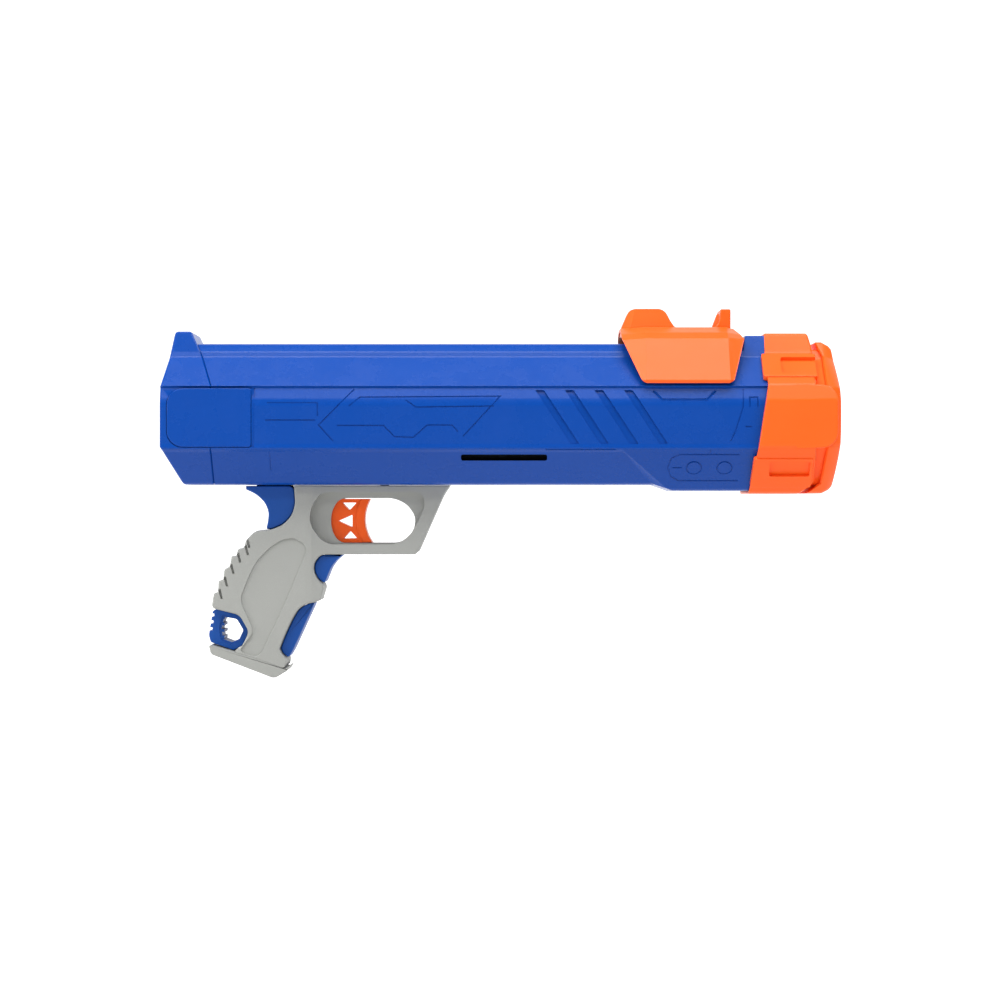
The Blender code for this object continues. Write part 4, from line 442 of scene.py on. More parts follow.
textured_plastic("grey_plastic", (0.365, 0.37, 0.348), (0.337, 0.342, 0.32), 0.55, 0.00008, 0.5)
textured_plastic("insert_blue", (0.006, 0.078, 0.37), (0.004, 0.062, 0.30), 0.45, 0.00005, 0.35)
textured_plastic("barrel_plastic", (0.030, 0.034, 0.042), (0.022, 0.025, 0.032), 0.45, 0.00005, 0.3)
textured_plastic("nylon", (0.70, 0.69, 0.64), (0.64, 0.63, 0.57), 0.42, 0.00003, 0.2)
textured_plastic("dark_rubber", (0.022, 0.022, 0.024), (0.014, 0.014, 0.015), 0.75, 0.00007, 0.5)
print("all plastics:", len(FINISHES))

# %% [markdown]
# ## Steel
#
# The screws, springs, pin and sear are zinc-plated steel: metal with a soft, slightly
# streaked shine and cloudy spots where the plating is thicker.

# %% Plated steel
def plated_steel():
    finish = Finish("steel")
    cloud = finish.noise(260.0, 4.0)
    streak = finish.noise(900.0, 2.0, stretch=(1.0, 6.0, 1.0))
    finish.set(
        Base_Color=finish.blend(cloud, (0.60, 0.61, 0.62, 1), (0.47, 0.48, 0.50, 1)),
        Metallic=1.0,
        Roughness=0.24 + cloud * 0.14 + streak * 0.06,
        Normal=finish.bump(streak, 0.00002))
    FINISHES["steel"] = finish.material


plated_steel()
print("all finishes:", len(FINISHES))

# %% [markdown]
# ## Dressing a finished piece
#
# Every piece ends the same way: it gets its finish and its shading, rides on the body that moves it,
# and the frame's plainer part that it stands for is hidden. One function does this for all.

# %% Finish, shading, body and part
def dress(obj, body, slot, *nodes, edge=0.0):
    """Give a finished piece its finish and its body, and hide the frame's nodes that it stands for."""
    obj.data.materials.clear()
    obj.data.materials.append(FINISHES[slot])
    smooth(obj, edge)
    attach(obj, body)
    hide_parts(*nodes)
    print(f"{obj.name}: {len(obj.data.polygons)} faces, rides on {body}")


# %% [markdown]
# ## The casing's section
#
# Seen from the muzzle the casing has eight sides. The side panel isn't quite flat. It steps
# in under the upper ridge, the band below that step leans in and catches the light, and the
# lower ridge ends in a small lip, so each ridge shows as a pair of fine lines. The collar in
# front and the fairing under it are the same section with other top and bottom corners.

# %% Corners of the section, from the top's middle to the bottom's
TOP_HALF = 18.0
COLLAR_HALF = 20.0
CAP_HALF = 20.5
SHOULDER = [(23.2, 37.0), (24.3, 33.9)]
RIDGE = 15.4
BAND_FOOT = RIDGE - 9.0
LOWER_RIDGE = -21.2
LIP_DROP = 2.1
SIDES = [
    (SIDE - 2.0, RIDGE + 0.45), (SIDE - 3.0, RIDGE - 0.3), (SIDE - 3.0, RIDGE - 1.0),
    (SIDE - 0.15, BAND_FOOT), (SIDE - 0.2, LOWER_RIDGE + 2.4), (SIDE, LOWER_RIDGE + 1.0),
    (SIDE, LOWER_RIDGE - 0.3),
]
PLAIN_FOOT = (BODY_BOTTOM, 24.0, 2.6)
FAIRED_FOOT = (FAIRING_BOTTOM, 26.0, 1.5)
SOFT_TOP = {1: 2.4, 2: 0.5, 3: 0.5, 12: 2.1, 4: 0.35, 7: 2.8, 8: 0.6, 9: 0.35, 10: 0.5, 11: 0.5}
HARD_TOP = {**SOFT_TOP, 1: 0.9}


def section(top, top_half, bottom, bottom_half, lip):
    """One half of a casing section; lip is how far the lower ridge stands out."""
    return ([(0, top), (top_half, top)] + SHOULDER + SIDES
            + [(SIDE - lip, LOWER_RIDGE - LIP_DROP), (bottom_half, bottom), (0, bottom)])


def sized(corners, size):
    """A section made smaller towards the barrel's axis."""
    return [(y * size, z * size) for y, z in corners]


PLAIN = section(BODY_TOP, TOP_HALF, *PLAIN_FOOT)
FAIRED = section(BODY_TOP, TOP_HALF, *FAIRED_FOOT)
COLLARED = section(COLLAR_TOP, COLLAR_HALF, *FAIRED_FOOT)
CAPPED = section(cap_high.z, CAP_HALF, *PLAIN_FOOT)
print("corners in half a section:", len(PLAIN))


def reach(corners, z):
    """How far out a section reaches at a height below its top."""
    for (y0, z0), (y1, z1) in zip(corners, corners[1:]):
        if z1 <= z <= z0 and z0 > z1:
            return y0 + (y1 - y0) * (z0 - z) / (z0 - z1)
    return corners[-2][0]


# %% [markdown]
# ## The casing's halves
#
# Each half is one skin from the cap to the muzzle ring. Its ends aren't square: the rear
# edge leans with the cap, the collar starts on a slant, and the fairing's rear edge runs
# forward as it drops. A skin between slanted lines gives all that in one go. A second row
# of lines, further in, leads back inside it, so that the skin closes into a wall.

# %% Slanted ends
CAP_SPLIT = 30.3
CAP_GAP = 0.2
CAP_SLANT = 0.46
BEND_HEIGHT = RIDGE + 3.2
FAIRING_EDGE = [(-22.5, 272.0), (-27.0, 279.4), (-41.2, 290.0), (-45.2, 300.3), (-48.0, 307.0)]
COLLAR_REAR = 343.0
COLLAR_SLANT = 0.14


def cap_split(z):
    """Where the cap meets the shells: square below the ridge, raked above it."""
    return CAP_SPLIT - CAP_SLANT * max(z - BEND_HEIGHT, 0)


def fairing_rear(z):
    """The fairing's rear edge: forward as it goes down, in four straight runs."""
    for (z0, x0), (z1, x1) in zip(FAIRING_EDGE, FAIRING_EDGE[1:]):
        if z >= z1:
            return x0 + (x1 - x0) * max(z0 - z, 0) / (z0 - z1)
    return FAIRING_EDGE[-1][1]


def collar_rear(z):
    """Where the collar starts: square below the ridge, leaning forward above it."""
    return COLLAR_REAR + COLLAR_SLANT * max(z - BEND_HEIGHT, 0)


# %% One half as a walled skin
INNER = [
    (0, BODY_TOP - 2.3), (TOP_HALF - 1.0, BODY_TOP - 2.3), (21.2, 35.6), (22.2, 32.6),
    (SIDE - 4.9, RIDGE - 0.2), (SIDE - 5.0, RIDGE - 0.9), (SIDE - 5.0, RIDGE - 1.7),
    (SIDE - 2.4, BAND_FOOT - 0.4), (SIDE - 2.3, LOWER_RIDGE + 2.8),
    (SIDE - 2.3, LOWER_RIDGE + 1.8), (SIDE - 2.4, LOWER_RIDGE + 0.8),
    (SIDE - 4.4, LOWER_RIDGE - 1.4), (22.9, BODY_BOTTOM + 2.3), (0, BODY_BOTTOM + 2.3),
]


def walled_skin(sides, outer, inner):
    """A skin out along one row of lines and back along another, with its cut faces closed."""
    bm = bmesh.new()
    for side in sides:
        lines = [section_line(bm, c, b, x, side) for c, b, x in outer + inner]
        skin(bm, lines + lines[:1])
    bmesh.ops.remove_doubles(bm, verts=bm.verts, dist=SEAM_MERGE)
    close_rims(bm)
    return bm


def casing_half(name, side):
    """One half of the casing; each line has its section, its bends and its end's slant."""
    outer = [
        (PLAIN, SOFT_TOP, lambda z: cap_split(z) + CAP_GAP),
        (PLAIN, SOFT_TOP, lambda z: cap_split(z) + CAP_GAP + 0.6),
        (PLAIN, SOFT_TOP, fairing_rear),
        (FAIRED, SOFT_TOP, lambda z: fairing_rear(z) + 1.3),
        (FAIRED, SOFT_TOP, lambda z: fairing_rear(z) + 2.1),
        (FAIRED, SOFT_TOP, collar_rear),
        (COLLARED, HARD_TOP, lambda z: collar_rear(z) + 0.7),
        (COLLARED, HARD_TOP, lambda z: collar_rear(z) + 1.4),
        (COLLARED, HARD_TOP, lambda z: CASING_FRONT),
    ]
    inner = [
        (INNER, HARD_TOP, lambda z: CASING_FRONT),
        (INNER, HARD_TOP, lambda z: cap_split(z) + CAP_GAP),
    ]
    bm = walled_skin([side], outer, inner)
    bmesh.ops.translate(bm, verts=bm.verts, vec=(0, side * SEAM / 2, 0))
    return piece(name, bm)


halves = {side: casing_half(f"casing_{name}", side) for side, name in SIDE_NAMES.items()}
print("casing half:", len(halves[-1].data.polygons), "faces")

# %% [markdown]
# ## Grooves, vent and openings
#
# Four leaning grooves sit in front on each side. Their floors are deep at the top and run
# out at the foot, so the light fades down each groove. The vent is a real slot through the
# lower facet. Above, the handle's stem slides in a long slot, and below, the sear's nose and
# the grip's neck come through.

# %% Cutters for one side
GROOVES = 4
GROOVE_PITCH = 17.45
GROOVE_WIDTH = 5.1
GROOVE_LEAN = 20.8
GROOVE_FIRST = CASING_FRONT - 139.4
GROOVE_TOP = RIDGE - 2.0
GROOVE_FOOT = LOWER_RIDGE + 2.8
GROOVE_CORNER = 0.7
GROOVE_DEPTH = 0.6
GROOVE_GAIN = 0.8
PLATE_END = plate_high.x - 1.5
STRIP_WIDTH = 1.6
STRIP_DEPTH = 0.5
STRIP_FOOT, STRIP_TOP = -20.4, 13.2
OVER = 3.0


def groove_tools(side):
    """Four leaning blocks with a floor that follows the panel, and a strip by the plate."""
    bm = bmesh.new()
    for i in range(GROOVES):
        top = GROOVE_FIRST + GROOVE_PITCH * i
        foot = top + GROOVE_LEAN
        outline = [
            (top, GROOVE_TOP), (top + GROOVE_WIDTH, GROOVE_TOP),
            (foot + GROOVE_WIDTH, GROOVE_FOOT), (foot, GROOVE_FOOT),
        ]
        corners = {k: GROOVE_CORNER for k in range(4)}
        slab(bm, outline, side * (SIDE - 6), side * (SIDE + OVER), corners)
    split_at(bm, (0, 0, BAND_FOOT), (0, 0, 1))
    for vert in bm.verts:
        if abs(vert.co.y) < SIDE:
            share = (vert.co.z - GROOVE_FOOT) / (GROOVE_TOP - GROOVE_FOOT)
            vert.co.y = side * (reach(PLAIN, vert.co.z) - GROOVE_DEPTH - GROOVE_GAIN * share)
    block(bm, (PLATE_END, side * (SIDE - STRIP_DEPTH), STRIP_FOOT),
          (PLATE_END + STRIP_WIDTH, side * (SIDE + OVER), STRIP_TOP))
    return bm


# %% Vent and slots
VENT_REAR = 177.7
VENT_FRONT = 228.7
VENT_TOP = LOWER_RIDGE - 3.4
VENT_HEIGHT = 3.6
VENT_CORNER = 1.2
SLOT_DEPTH = 5.0
# Each slot's rear and front end, its half width, and the height of the face it goes through:
# one for the handle's stem, one for the sear's nose, one for the grip's neck.
SLOTS = [
    (157.4, 336.6, 4.0, BODY_TOP), (119.96, 138.0, 4.0, BODY_BOTTOM), (53.7, 75.3, 8.3, BODY_BOTTOM),
]
for side, half in halves.items():
    carve(half, groove_tools(side))
    bm = bmesh.new()
    slab(bm, rectangle(VENT_REAR, VENT_TOP, VENT_FRONT, VENT_TOP - VENT_HEIGHT),
         side * (SIDE - 10), side * (SIDE + OVER), {k: VENT_CORNER for k in range(4)})
    carve(half, bm)
    bm = bmesh.new()
    for rear, front, width, face in SLOTS:
        into, out_of = face - math.copysign(SLOT_DEPTH, face), face + math.copysign(OVER, face)
        block(bm, (rear, -width, min(into, out_of)), (front, width, max(into, out_of)))
    carve(half, bm)
print("grooves, vents and slots cut")

# %% [markdown]
# ## Engraved panel lines
#
# Fine lines break up the long side panel. In the mould each is cut with a tapered bit, so
# its walls lean. The cutter here is a strip with the same walls. Its points are set at the
# height of the section, so that a line is equally deep on the panel and on the facets. The
# lines' places were measured in the picture, whose middle looks at one place of the side.

# %% Lines from places in the picture
PICTURE_MIDDLE = 500.0
PIXEL = 0.589
LOOK_X = 200.8
LOOK_Z = -51.5
ENGRAVING = [
    [(267, 402.7), (317.4, 402.7), (317.4, 416)],
    [(265, 420), (315, 420)],
    [(354, 389), (318.5, 425), (333, 441)],
    [(348.7, 406), (359.8, 397), (500.4, 396), (463, 436.4)],
    [(405.7, 400), (416, 407), (493.8, 406)],
    [
        (337, 425.4), (383.3, 425.4), (394.4, 436.6), (413.4, 437.3), (427, 425), (452, 425),
        (458, 431.6),
    ],
    [(743.5, 389), (743.5, 406), (740, 417), (736, 430), (731, 441)],
    [(750, 407), (750, 397), (758, 397), (758, 407)],
    [(746, 426.6), (752, 426.6)],
    [(254, 388), (254, 398)],
]
BROAD_ENGRAVING = [[(653.5, 390.5), (662.5, 399.5), (707, 399.5), (716, 390.5)]]
FACET_ENGRAVING = [
    [(546, 449.6), (616, 449.6)],
    [(269, 451), (269, 470)],
]
FAIRING_ENGRAVING = [
    [(740, 454.5), (680, 454.5), (672, 458), (668.5, 467), (672, 476), (680, 480.5), (740, 480.5)],
    [(673, 467.5), (683, 467.5)],
    [(710.8, 449.5), (710.8, 454)],
]
FAIRING_RINGS = ((695, 467.5), (725.7, 467.5))
RING_GROOVE = [(-0.5, 4.1), (1.0, 3.6), (1.0, 5.2), (-0.5, 4.7), (-0.5, 4.1)]


def from_picture(px, py):
    """Where a place in the picture lies on the launcher's near side, as X and Z."""
    return (px - PICTURE_MIDDLE) * PIXEL + LOOK_X, (PICTURE_MIDDLE - py) * PIXEL + LOOK_Z


# %% A cutter that follows a line
SCRIBE_STEP = 5.0
SCRIBE_WALLS = ((-1.3, 1.4), (-0.6, -0.5), (0.6, -0.5), (1.3, 1.4))
SCRIBE_HEIGHT = 1.2
MITRE_LIMIT = 0.45


def scribe(obj, side, corners, lines, width):
    """Cut lines (x, z) into a piece, as grooves with leaning walls that follow a section."""
    for line in lines:
        dense = [Vector(line[0])]
        for spot in line[1:]:
            start, end = dense[-1].copy(), Vector(spot)
            count = max(1, round((end - start).length / SCRIBE_STEP))
            dense += [start.lerp(end, k / count) for k in range(1, count + 1)]
        mitres = []
        for before, here, after in zip(dense[:1] + dense, dense, dense[1:] + dense[-1:]):
            turns = [(b - a).normalized() for a, b in ((before, here), (here, after)) if a != b]
            flat = sum(turns, Vector((0, 0))).normalized()
            mitres.append(Vector((-flat.y, flat.x)) / max(flat.dot(turns[0]), MITRE_LIMIT))
        bm = bmesh.new()
        rails = []
        for share, lift in SCRIBE_WALLS:
            rail = []
            for here, mitre in zip(dense, mitres):
                spot = here + mitre * (width / 2 * share)
                y = reach(corners, here.y) + SEAM / 2 + lift * min(width, SCRIBE_HEIGHT)
                rail.append(bm.verts.new((spot.x, side * y, spot.y)))
            rails.append([bm.edges.new(pair) for pair in zip(rail, rail[1:])])
        skin(bm, rails + rails[:1])
        close_rims(bm)
        carve(obj, bm)


# %% Engrave both sides
LINE_WIDTH = 0.95
BROAD_LINE = 1.9
fairing_out = Vector((0, 22.6, -15.2)).normalized()


def on_side(lines):
    """Lines in the picture as lines on the side."""
    return [[from_picture(*spot) for spot in line] for line in lines]


for side, half in halves.items():
    scribe(half, side, PLAIN, on_side(ENGRAVING), LINE_WIDTH)
    scribe(half, side, PLAIN, on_side(BROAD_ENGRAVING), BROAD_LINE)
    scribe(half, side, PLAIN, on_side(FACET_ENGRAVING), LINE_WIDTH)
    scribe(half, side, FAIRED, on_side(FAIRING_ENGRAVING), LINE_WIDTH)
    bm = bmesh.new()
    for spot in FAIRING_RINGS:
        x, z = from_picture(*spot)
        out = Vector((0, side * fairing_out.y, fairing_out.z))
        place = Matrix.Translation((x, side * (reach(FAIRED, z) + SEAM / 2), z))
        place @= Vector((1, 0, 0)).rotation_difference(out).to_matrix().to_4x4()
        turned(bm, RING_GROOVE, 32, place)
    carve(half, bm)
print("engraved lines:", len(ENGRAVING) + len(FAIRING_ENGRAVING) + len(FACET_ENGRAVING))

# %% [markdown]
# ## Screw bosses in the casing
#
# The halves are held by four screws from the left. Each runs in a round boss. On the left
# the boss is a well that the screw's head goes down into.

# %% Bosses and wells
BOSS = 4.4
BOSS_INSET = 1.5
UPPER_BOSS_END = 30.0
WELL = 3.3
HOLE = 1.7
PILOT = 13.0
SEAT = 16.0
HEAD_RISE = 2.2


def cross_screw(node):
    """Where a screw across the launcher sits: its X and Z, the seat of its head, its tip."""
    low, high = box_mm(node)
    return (low.x + high.x) / 2, (low.z + high.z) / 2, high.y - HEAD_RISE, low.y


def across(x, z, y):
    """A matrix that lays the X axis of a turned shape across the launcher, towards -Y."""
    return Matrix.Translation((x, y, z)) @ Matrix.Rotation(-math.pi / 2, 4, "Z")


def well(depth, end):
    """A profile for a screw's way in: a well for its head, then a hole for its shank."""
    return [(0, 0), (0, WELL), (depth, WELL), (depth, HOLE), (end, HOLE), (end, 0)]


body_spots = [cross_screw(f"body_screw_{i}")[:2] for i in (1, 2, 3, 4)]
for side, half in halves.items():
    bm = bmesh.new()
    for x, z in body_spots:
        end = SIDE - BOSS_INSET if z < RIDGE else UPPER_BOSS_END
        start = side * (SEAM / 2 if side < 0 else end)
        length = end - SEAM / 2
        turned(bm, [(0, 0), (0, BOSS), (length, BOSS), (length, 0)], 20, across(x, z, start))
    weld(half, bm)
    bm = bmesh.new()
    for x, z in body_spots:
        if side > 0:
            turned(bm, well(SIDE + OVER - SEAT, SIDE + 2 * OVER), 24, across(x, z, SIDE + OVER))
        else:
            turned(bm, [(0, 0), (0, HOLE), (PILOT, HOLE), (PILOT, 0)], 16, across(x, z, OVER))
    carve(half, bm)
print("screw bosses on each side:", len(body_spots))

# %% [markdown]
# ## The bare side plates and their recesses
#
# Behind, each side has a let-in plate with two large rounded corners. On the real launcher
# it carries a badge; here it is left bare. The plate sits in a recess that crosses the seam
# between cap and casing, so both are cut with the same, slightly larger outline.

# %% Plates
PLATE_DEPTH = plate_high.y - plate_low.y
PLATE_SUNK = 0.05
PLATE_REAR = plate_low.x - 3.3
PLATE_TOP = plate_high.z - 0.3
PLATE_MIDDLE = 30.0
PLATE_BENDS = {0: 1.5, 1: 1.5, 2: 9.8, 3: 9.8}
plate_corners = [
    (PLATE_END - SEAM, plate_low.z), (PLATE_END - SEAM, PLATE_TOP),
    (PLATE_REAR, PLATE_TOP), (PLATE_REAR, plate_low.z),
]


def plate_tool(side, gap):
    """The plate's outline, larger by a gap and deep enough to cut the recess."""
    corners = [
        (x + math.copysign(gap, x - PLATE_MIDDLE), z + math.copysign(gap, z))
        for x, z in plate_corners
    ]
    bm = bmesh.new()
    slab(bm, corners, side * (SIDE - PLATE_DEPTH - gap), side * (SIDE + OVER), PLATE_BENDS, 8)
    return bm


for side, name in SIDE_NAMES.items():
    bm = bmesh.new()
    slab(bm, plate_corners, side * (SIDE - PLATE_DEPTH), side * (SIDE - PLATE_SUNK), PLATE_BENDS, 8)
    bevel(bm, sharp_edges(bm, 60, beyond(SIDE - 0.5)), 0.5, 3)
    dress(piece(f"badge_plate_{name}", bm), "launcher", "blue_plastic", f"side_plate_{name}")
for side, half in halves.items():
    carve(half, plate_tool(side, SEAM))
for side, name in SIDE_NAMES.items():
    dress(halves[side], "launcher", "blue_plastic", f"body_shell_{name}", edge=0.2)

# %% [markdown]
# ## The rear cap
#
# The cap closes the casing. Its back is upright in the middle and leans forward above and
# below, and a raised collar stands up on top. It is the same section again: a little smaller
# round the back's edge, full size up to the slanted split, and then a skirt that plugs into
# the shells. Bridging the first lines of its two halves makes the middle of the back.

# %% Cap
BACK_TOP_SLOPE = 0.19
BACK_FOOT_SLOPE = 0.52
BACK_EDGE = 1.5
SPLIT_EDGE = 0.9
SKIRT = 40.0
SKIRT_SECTION = [
    (0, BODY_TOP - 2.8), (TOP_HALF - 1.4, BODY_TOP - 2.8), (20.6, 35.0), (21.6, 32.0),
    (37.2, 15.6), (38.3, 13.9), (38.5, 13.1), (41.0, 5.6), (41.0, -18.0), (41.0, -19.0),
    (40.9, -20.0), (39.0, -22.6), (22.8, BODY_BOTTOM + 2.8), (0, BODY_BOTTOM + 2.8),
]
SKIRT_IN = sized(SKIRT_SECTION, 0.94)


def back(z):
    """The cap's back: upright in the middle, leaning forward above and below."""
    return BACK_TOP_SLOPE * max(z - RIDGE, 0) + BACK_FOOT_SLOPE * max(LOWER_RIDGE + 1.2 - z, 0)


def cap_half(bm, side):
    """One half of the cap; the first line of its back is given back."""
    stations = [
        (sized(CAPPED, 0.965), back),
        (sized(CAPPED, 0.988), lambda z: back(z) + BACK_EDGE * 0.25),
        (CAPPED, lambda z: back(z) + BACK_EDGE),
        (CAPPED, lambda z: cap_split(z) - SPLIT_EDGE),
        (sized(CAPPED, 0.982), cap_split),
        (SKIRT_SECTION, cap_split),
        (SKIRT_SECTION, lambda z: SKIRT),
        (SKIRT_IN, lambda z: SKIRT),
        (SKIRT_IN, lambda z: 18.0),
        (sized(SKIRT_SECTION, 0.7), lambda z: 10.0),
    ]
    lines = [section_line(bm, c, HARD_TOP, x, side) for c, x in stations]
    skin(bm, lines)
    return lines[0]


bm = bmesh.new()
backs = [cap_half(bm, side) for side in SIDE_NAMES]
bmesh.ops.bridge_loops(bm, edges=backs[0] + backs[1])
bmesh.ops.remove_doubles(bm, verts=bm.verts, dist=SEAM_MERGE)
bmesh.ops.dissolve_degenerate(bm, dist=SEAM_MERGE, edges=bm.edges)
close_rims(bm)
rear_housing = piece("rear_housing", bm)
for side in SIDE_NAMES:
    carve(rear_housing, plate_tool(side, SEAM + 0.03))
dress(rear_housing, "launcher", "blue_plastic", "rear_cap")

# %% [markdown]
# ## The muzzle ring
#
# The orange ring is the launcher's nose. A raised band grips the casing's collar; in front
# of it runs a sunk channel, and then a crowned rim. Every line of the ring has the same
# number of points, so the outside, the socket behind, the bore and the lip join up into
# one closed skin. The bore's lines are the section's own points pushed out to a circle.

# %% Sections of the ring
RING_SIDE = ring_high.y
RING_FRONT = 401.9
RING_REAR = 358.8
RING_BAND_FOOT = 7.2
RING_LEAN = 3.0
BAND_TOP = 48.3
BAND_RIDGE = 16.6
BAND_FRONT = 384.6
RIM_REAR = 393.4
NOTCH_TOP = -42.4
NOTCH_SLANT = 1.5
CROWN_DEPTH = 4.2
CROWN_POWER = 2.6


def ring_section(top, top_half, shoulder, side, ridge, low_ridge, bottom, bottom_half, lean=RING_LEAN):
    """Half of a ring section; lean is how far its side draws in up to the ridge."""
    return [
        (0, top), (top_half, top), shoulder, (side - lean, ridge), (side, RING_BAND_FOOT),
        (side, low_ridge), (bottom_half, bottom), (0, bottom),
    ]


BAND = ring_section(BAND_TOP, 20.0, (24.5, 36.5), RING_SIDE, BAND_RIDGE, -21.0, -47.8, 27.0)
CHANNEL = ring_section(38.6, 17.0, (20.6, 32.6), RING_SIDE - 4.6, 14.6, -19.4, -42.6, 24.6)
RIM = ring_section(43.2, 17.0, (22.0, 34.6), RING_SIDE - 2.2, 15.4, -20.2, -47.6, 26.0)
RIM_NOSE = ring_section(41.0, 16.0, (20.6, 33.0), RING_SIDE - 3.8, 14.8, -19.4, -45.6, 24.6)
RIM_FACE = ring_section(39.2, 15.0, (19.4, 31.4), RING_SIDE - 5.8, 14.0, -18.6, -43.8, 23.4)
SOCKET = ring_section(47.1, 20.1, (23.7, 36.6), SIDE + 0.4, 15.6, -21.6, -46.3, 26.2, 0.0)
RING_BENDS = {1: 1.2, 2: 0.8, 3: 1.0, 4: 1.2, 5: 1.6, 6: 2.4}
print("ring from", RING_REAR, "to", RING_FRONT, "half width", round(RING_SIDE, 1))


# %% Edges of the ring
def notch(z):
    """How far the slanted notch at the bottom takes an edge back."""
    return NOTCH_SLANT * max(NOTCH_TOP - z, 0)


def ring_rear(z):
    """The ring's rear edge leans back as it goes down."""
    return RING_REAR + 0.155 * min(z - BAND_RIDGE, 0)


def band_front(z):
    """The band's front edge: leaning at the top, square on the side, notched at the bottom."""
    return BAND_FRONT + 0.26 * min(max(BAND_TOP - z, 0), 9) - notch(z)


def rim_rear(z):
    """The rim's rear edge leans back at its top and a little at its foot."""
    return RIM_REAR - 0.45 * max(z - 34, 0) - 0.10 * max(-20 - z, 0) - notch(z)


def rim_crown(z, front):
    """The rim's front is crowned: it falls back towards its top and its foot."""
    return front - CROWN_DEPTH * abs(z / BAND_TOP) ** CROWN_POWER


def ring_line(bm, corners, x_at, side, circle=0.0):
    """A line of the ring; a circle's radius pushes its points out to that circle."""
    line = section_line(bm, corners, RING_BENDS, x_at, side, cuts=5)
    if circle:
        for vert in {v for e in line for v in e.verts}:
            arm = Vector((0, vert.co.y, vert.co.z))
            vert.co.yz = (arm.normalized() * circle).yz
            vert.co.x = x_at(vert.co.z)
    return line


# %% Skin of the ring
BORE = 36.3
LIP = 34.2
LIP_REAR = 392.2
RING_RADIUS = 45


def ring_half(bm, side):
    """One half of the ring: round its outside, in through the lip and bore, and back."""
    def inset(corners, depth):
        return sized(corners, 1 - depth / RING_RADIUS)

    stations = [
        (inset(BAND, 0.35), ring_rear, 0),
        (BAND, lambda z: ring_rear(z) + 0.6, 0),
        (BAND, lambda z: band_front(z) - 0.9, 0),
        (inset(BAND, 0.8), band_front, 0),
        (CHANNEL, lambda z: band_front(z) + 0.6, 0),
        (CHANNEL, lambda z: rim_rear(z) - 0.5, 0),
        (inset(RIM, 0.7), rim_rear, 0),
        (RIM, lambda z: rim_rear(z) + 0.8, 0),
        (RIM, lambda z: rim_crown(z, 396.5), 0),
        (RIM_NOSE, lambda z: rim_crown(z, 400.4), 0),
        (RIM_FACE, lambda z: rim_crown(z, RING_FRONT), 0),
        (RIM_FACE, lambda z: rim_crown(z, RING_FRONT) - 0.05, LIP + 2.6),
        (RIM_FACE, lambda z: 399.9, LIP),
        (RIM_FACE, lambda z: LIP_REAR, LIP),
        (RIM_FACE, lambda z: LIP_REAR, BORE),
        (RIM_FACE, lambda z: CASING_FRONT + 0.5, BORE),
        (SOCKET, lambda z: CASING_FRONT + 0.5, 0),
        (SOCKET, ring_rear, 0),
        (inset(BAND, 0.35), ring_rear, 0),
    ]
    skin(bm, [ring_line(bm, c, x, side, r) for c, x, r in stations])


bm = bmesh.new()
for side in SIDE_NAMES:
    ring_half(bm, side)
bmesh.ops.remove_doubles(bm, verts=bm.verts, dist=SEAM_MERGE)
muzzle_shroud = piece("muzzle_shroud", bm)
print("ring skin:", len(muzzle_shroud.data.polygons), "faces")

# %% [markdown]
# ## Cheeks, pads and windows of the ring
#
# On each side a cheek carries the side panel forward over the channel, with round front
# corners. The slanted facets carry a raised pad that reaches a little behind the ring, and
# a window is sunk into each. A facet's own slope gives the direction for pad and window.

# %% Cheeks
CHEEK_REAR, CHEEK_FRONT = 375, 399.6
CHEEK_FOOT, CHEEK_TOP = -20.9, 16.5
CHEEK_CORNER = 9.5
bm = bmesh.new()
for side in SIDE_NAMES:
    slab(bm, rectangle(CHEEK_REAR, CHEEK_FOOT, CHEEK_FRONT, CHEEK_TOP), side * (RING_SIDE - 7.5),
         side * (RING_SIDE - 0.01), {1: CHEEK_CORNER, 2: CHEEK_CORNER}, 8)
outer_face = beyond(RING_SIDE - 0.1)
rims = sharp_edges(bm, 50, lambda e: outer_face(e) and all(v.co.x > 380 for v in e.verts))
bevel(bm, rims, 0.9, 3)
split_at(bm, (0, 0, RING_BAND_FOOT), (0, 0, 1))
cheek_lean = RING_LEAN / (BAND_RIDGE - RING_BAND_FOOT)
for vert in bm.verts:
    vert.co.y -= math.copysign(cheek_lean, vert.co.y) * max(vert.co.z - RING_BAND_FOOT, 0)
weld(muzzle_shroud, bm)
print("ring with cheeks:", len(muzzle_shroud.data.polygons), "faces")

# %% Pads, windows and screw wells
PAD_FLOOR, PAD_RISE = -2.5, 0.75
PAD_BENDS = {0: 1.5, 1: 1.0, 2: 1.0, 3: 1.5}
LOWER_PAD = [(349.3, -12.2), (385.4, -12.2), (385.4, 9.6), (350.6, 9.6)]
WINDOW_FLOOR, WINDOW_TOP = -1.5, 6.0


def facet_frame(upper, side):
    """Origin in the middle of a slanted facet, with its slope and its outward direction."""
    a, b = (BAND[2], BAND[3]) if upper else (BAND[5], BAND[6])
    a, b = Vector((0, side * a[0], a[1])), Vector((0, side * b[0], b[1]))
    down = (b - a).normalized()
    out = down.cross(Vector((1, 0, 0))) * -side
    turn = Matrix((Vector((1, 0, 0)), out, -down)).transposed().to_4x4()
    return Matrix.Translation((a + b) / 2) @ turn


def facet_block(bm, upper, side, outline, low, high, bends, edge=0.0):
    """A block on a facet: its outline in (x, up the slope), from a depth to a height."""
    part = bmesh.new()
    slab(part, outline, low, high, bends)
    if edge:
        bevel(part, sharp_edges(part, 50, lambda e: all(v.co.y > high - 0.01 for v in e.verts)), edge, 2)
    bmesh.ops.recalc_face_normals(part, faces=part.faces)
    bmesh.ops.transform(part, matrix=facet_frame(upper, side), verts=part.verts)
    mesh = bpy.data.meshes.new("facet")
    part.to_mesh(mesh)
    part.free()
    bm.from_mesh(mesh)
    bpy.data.meshes.remove(mesh)


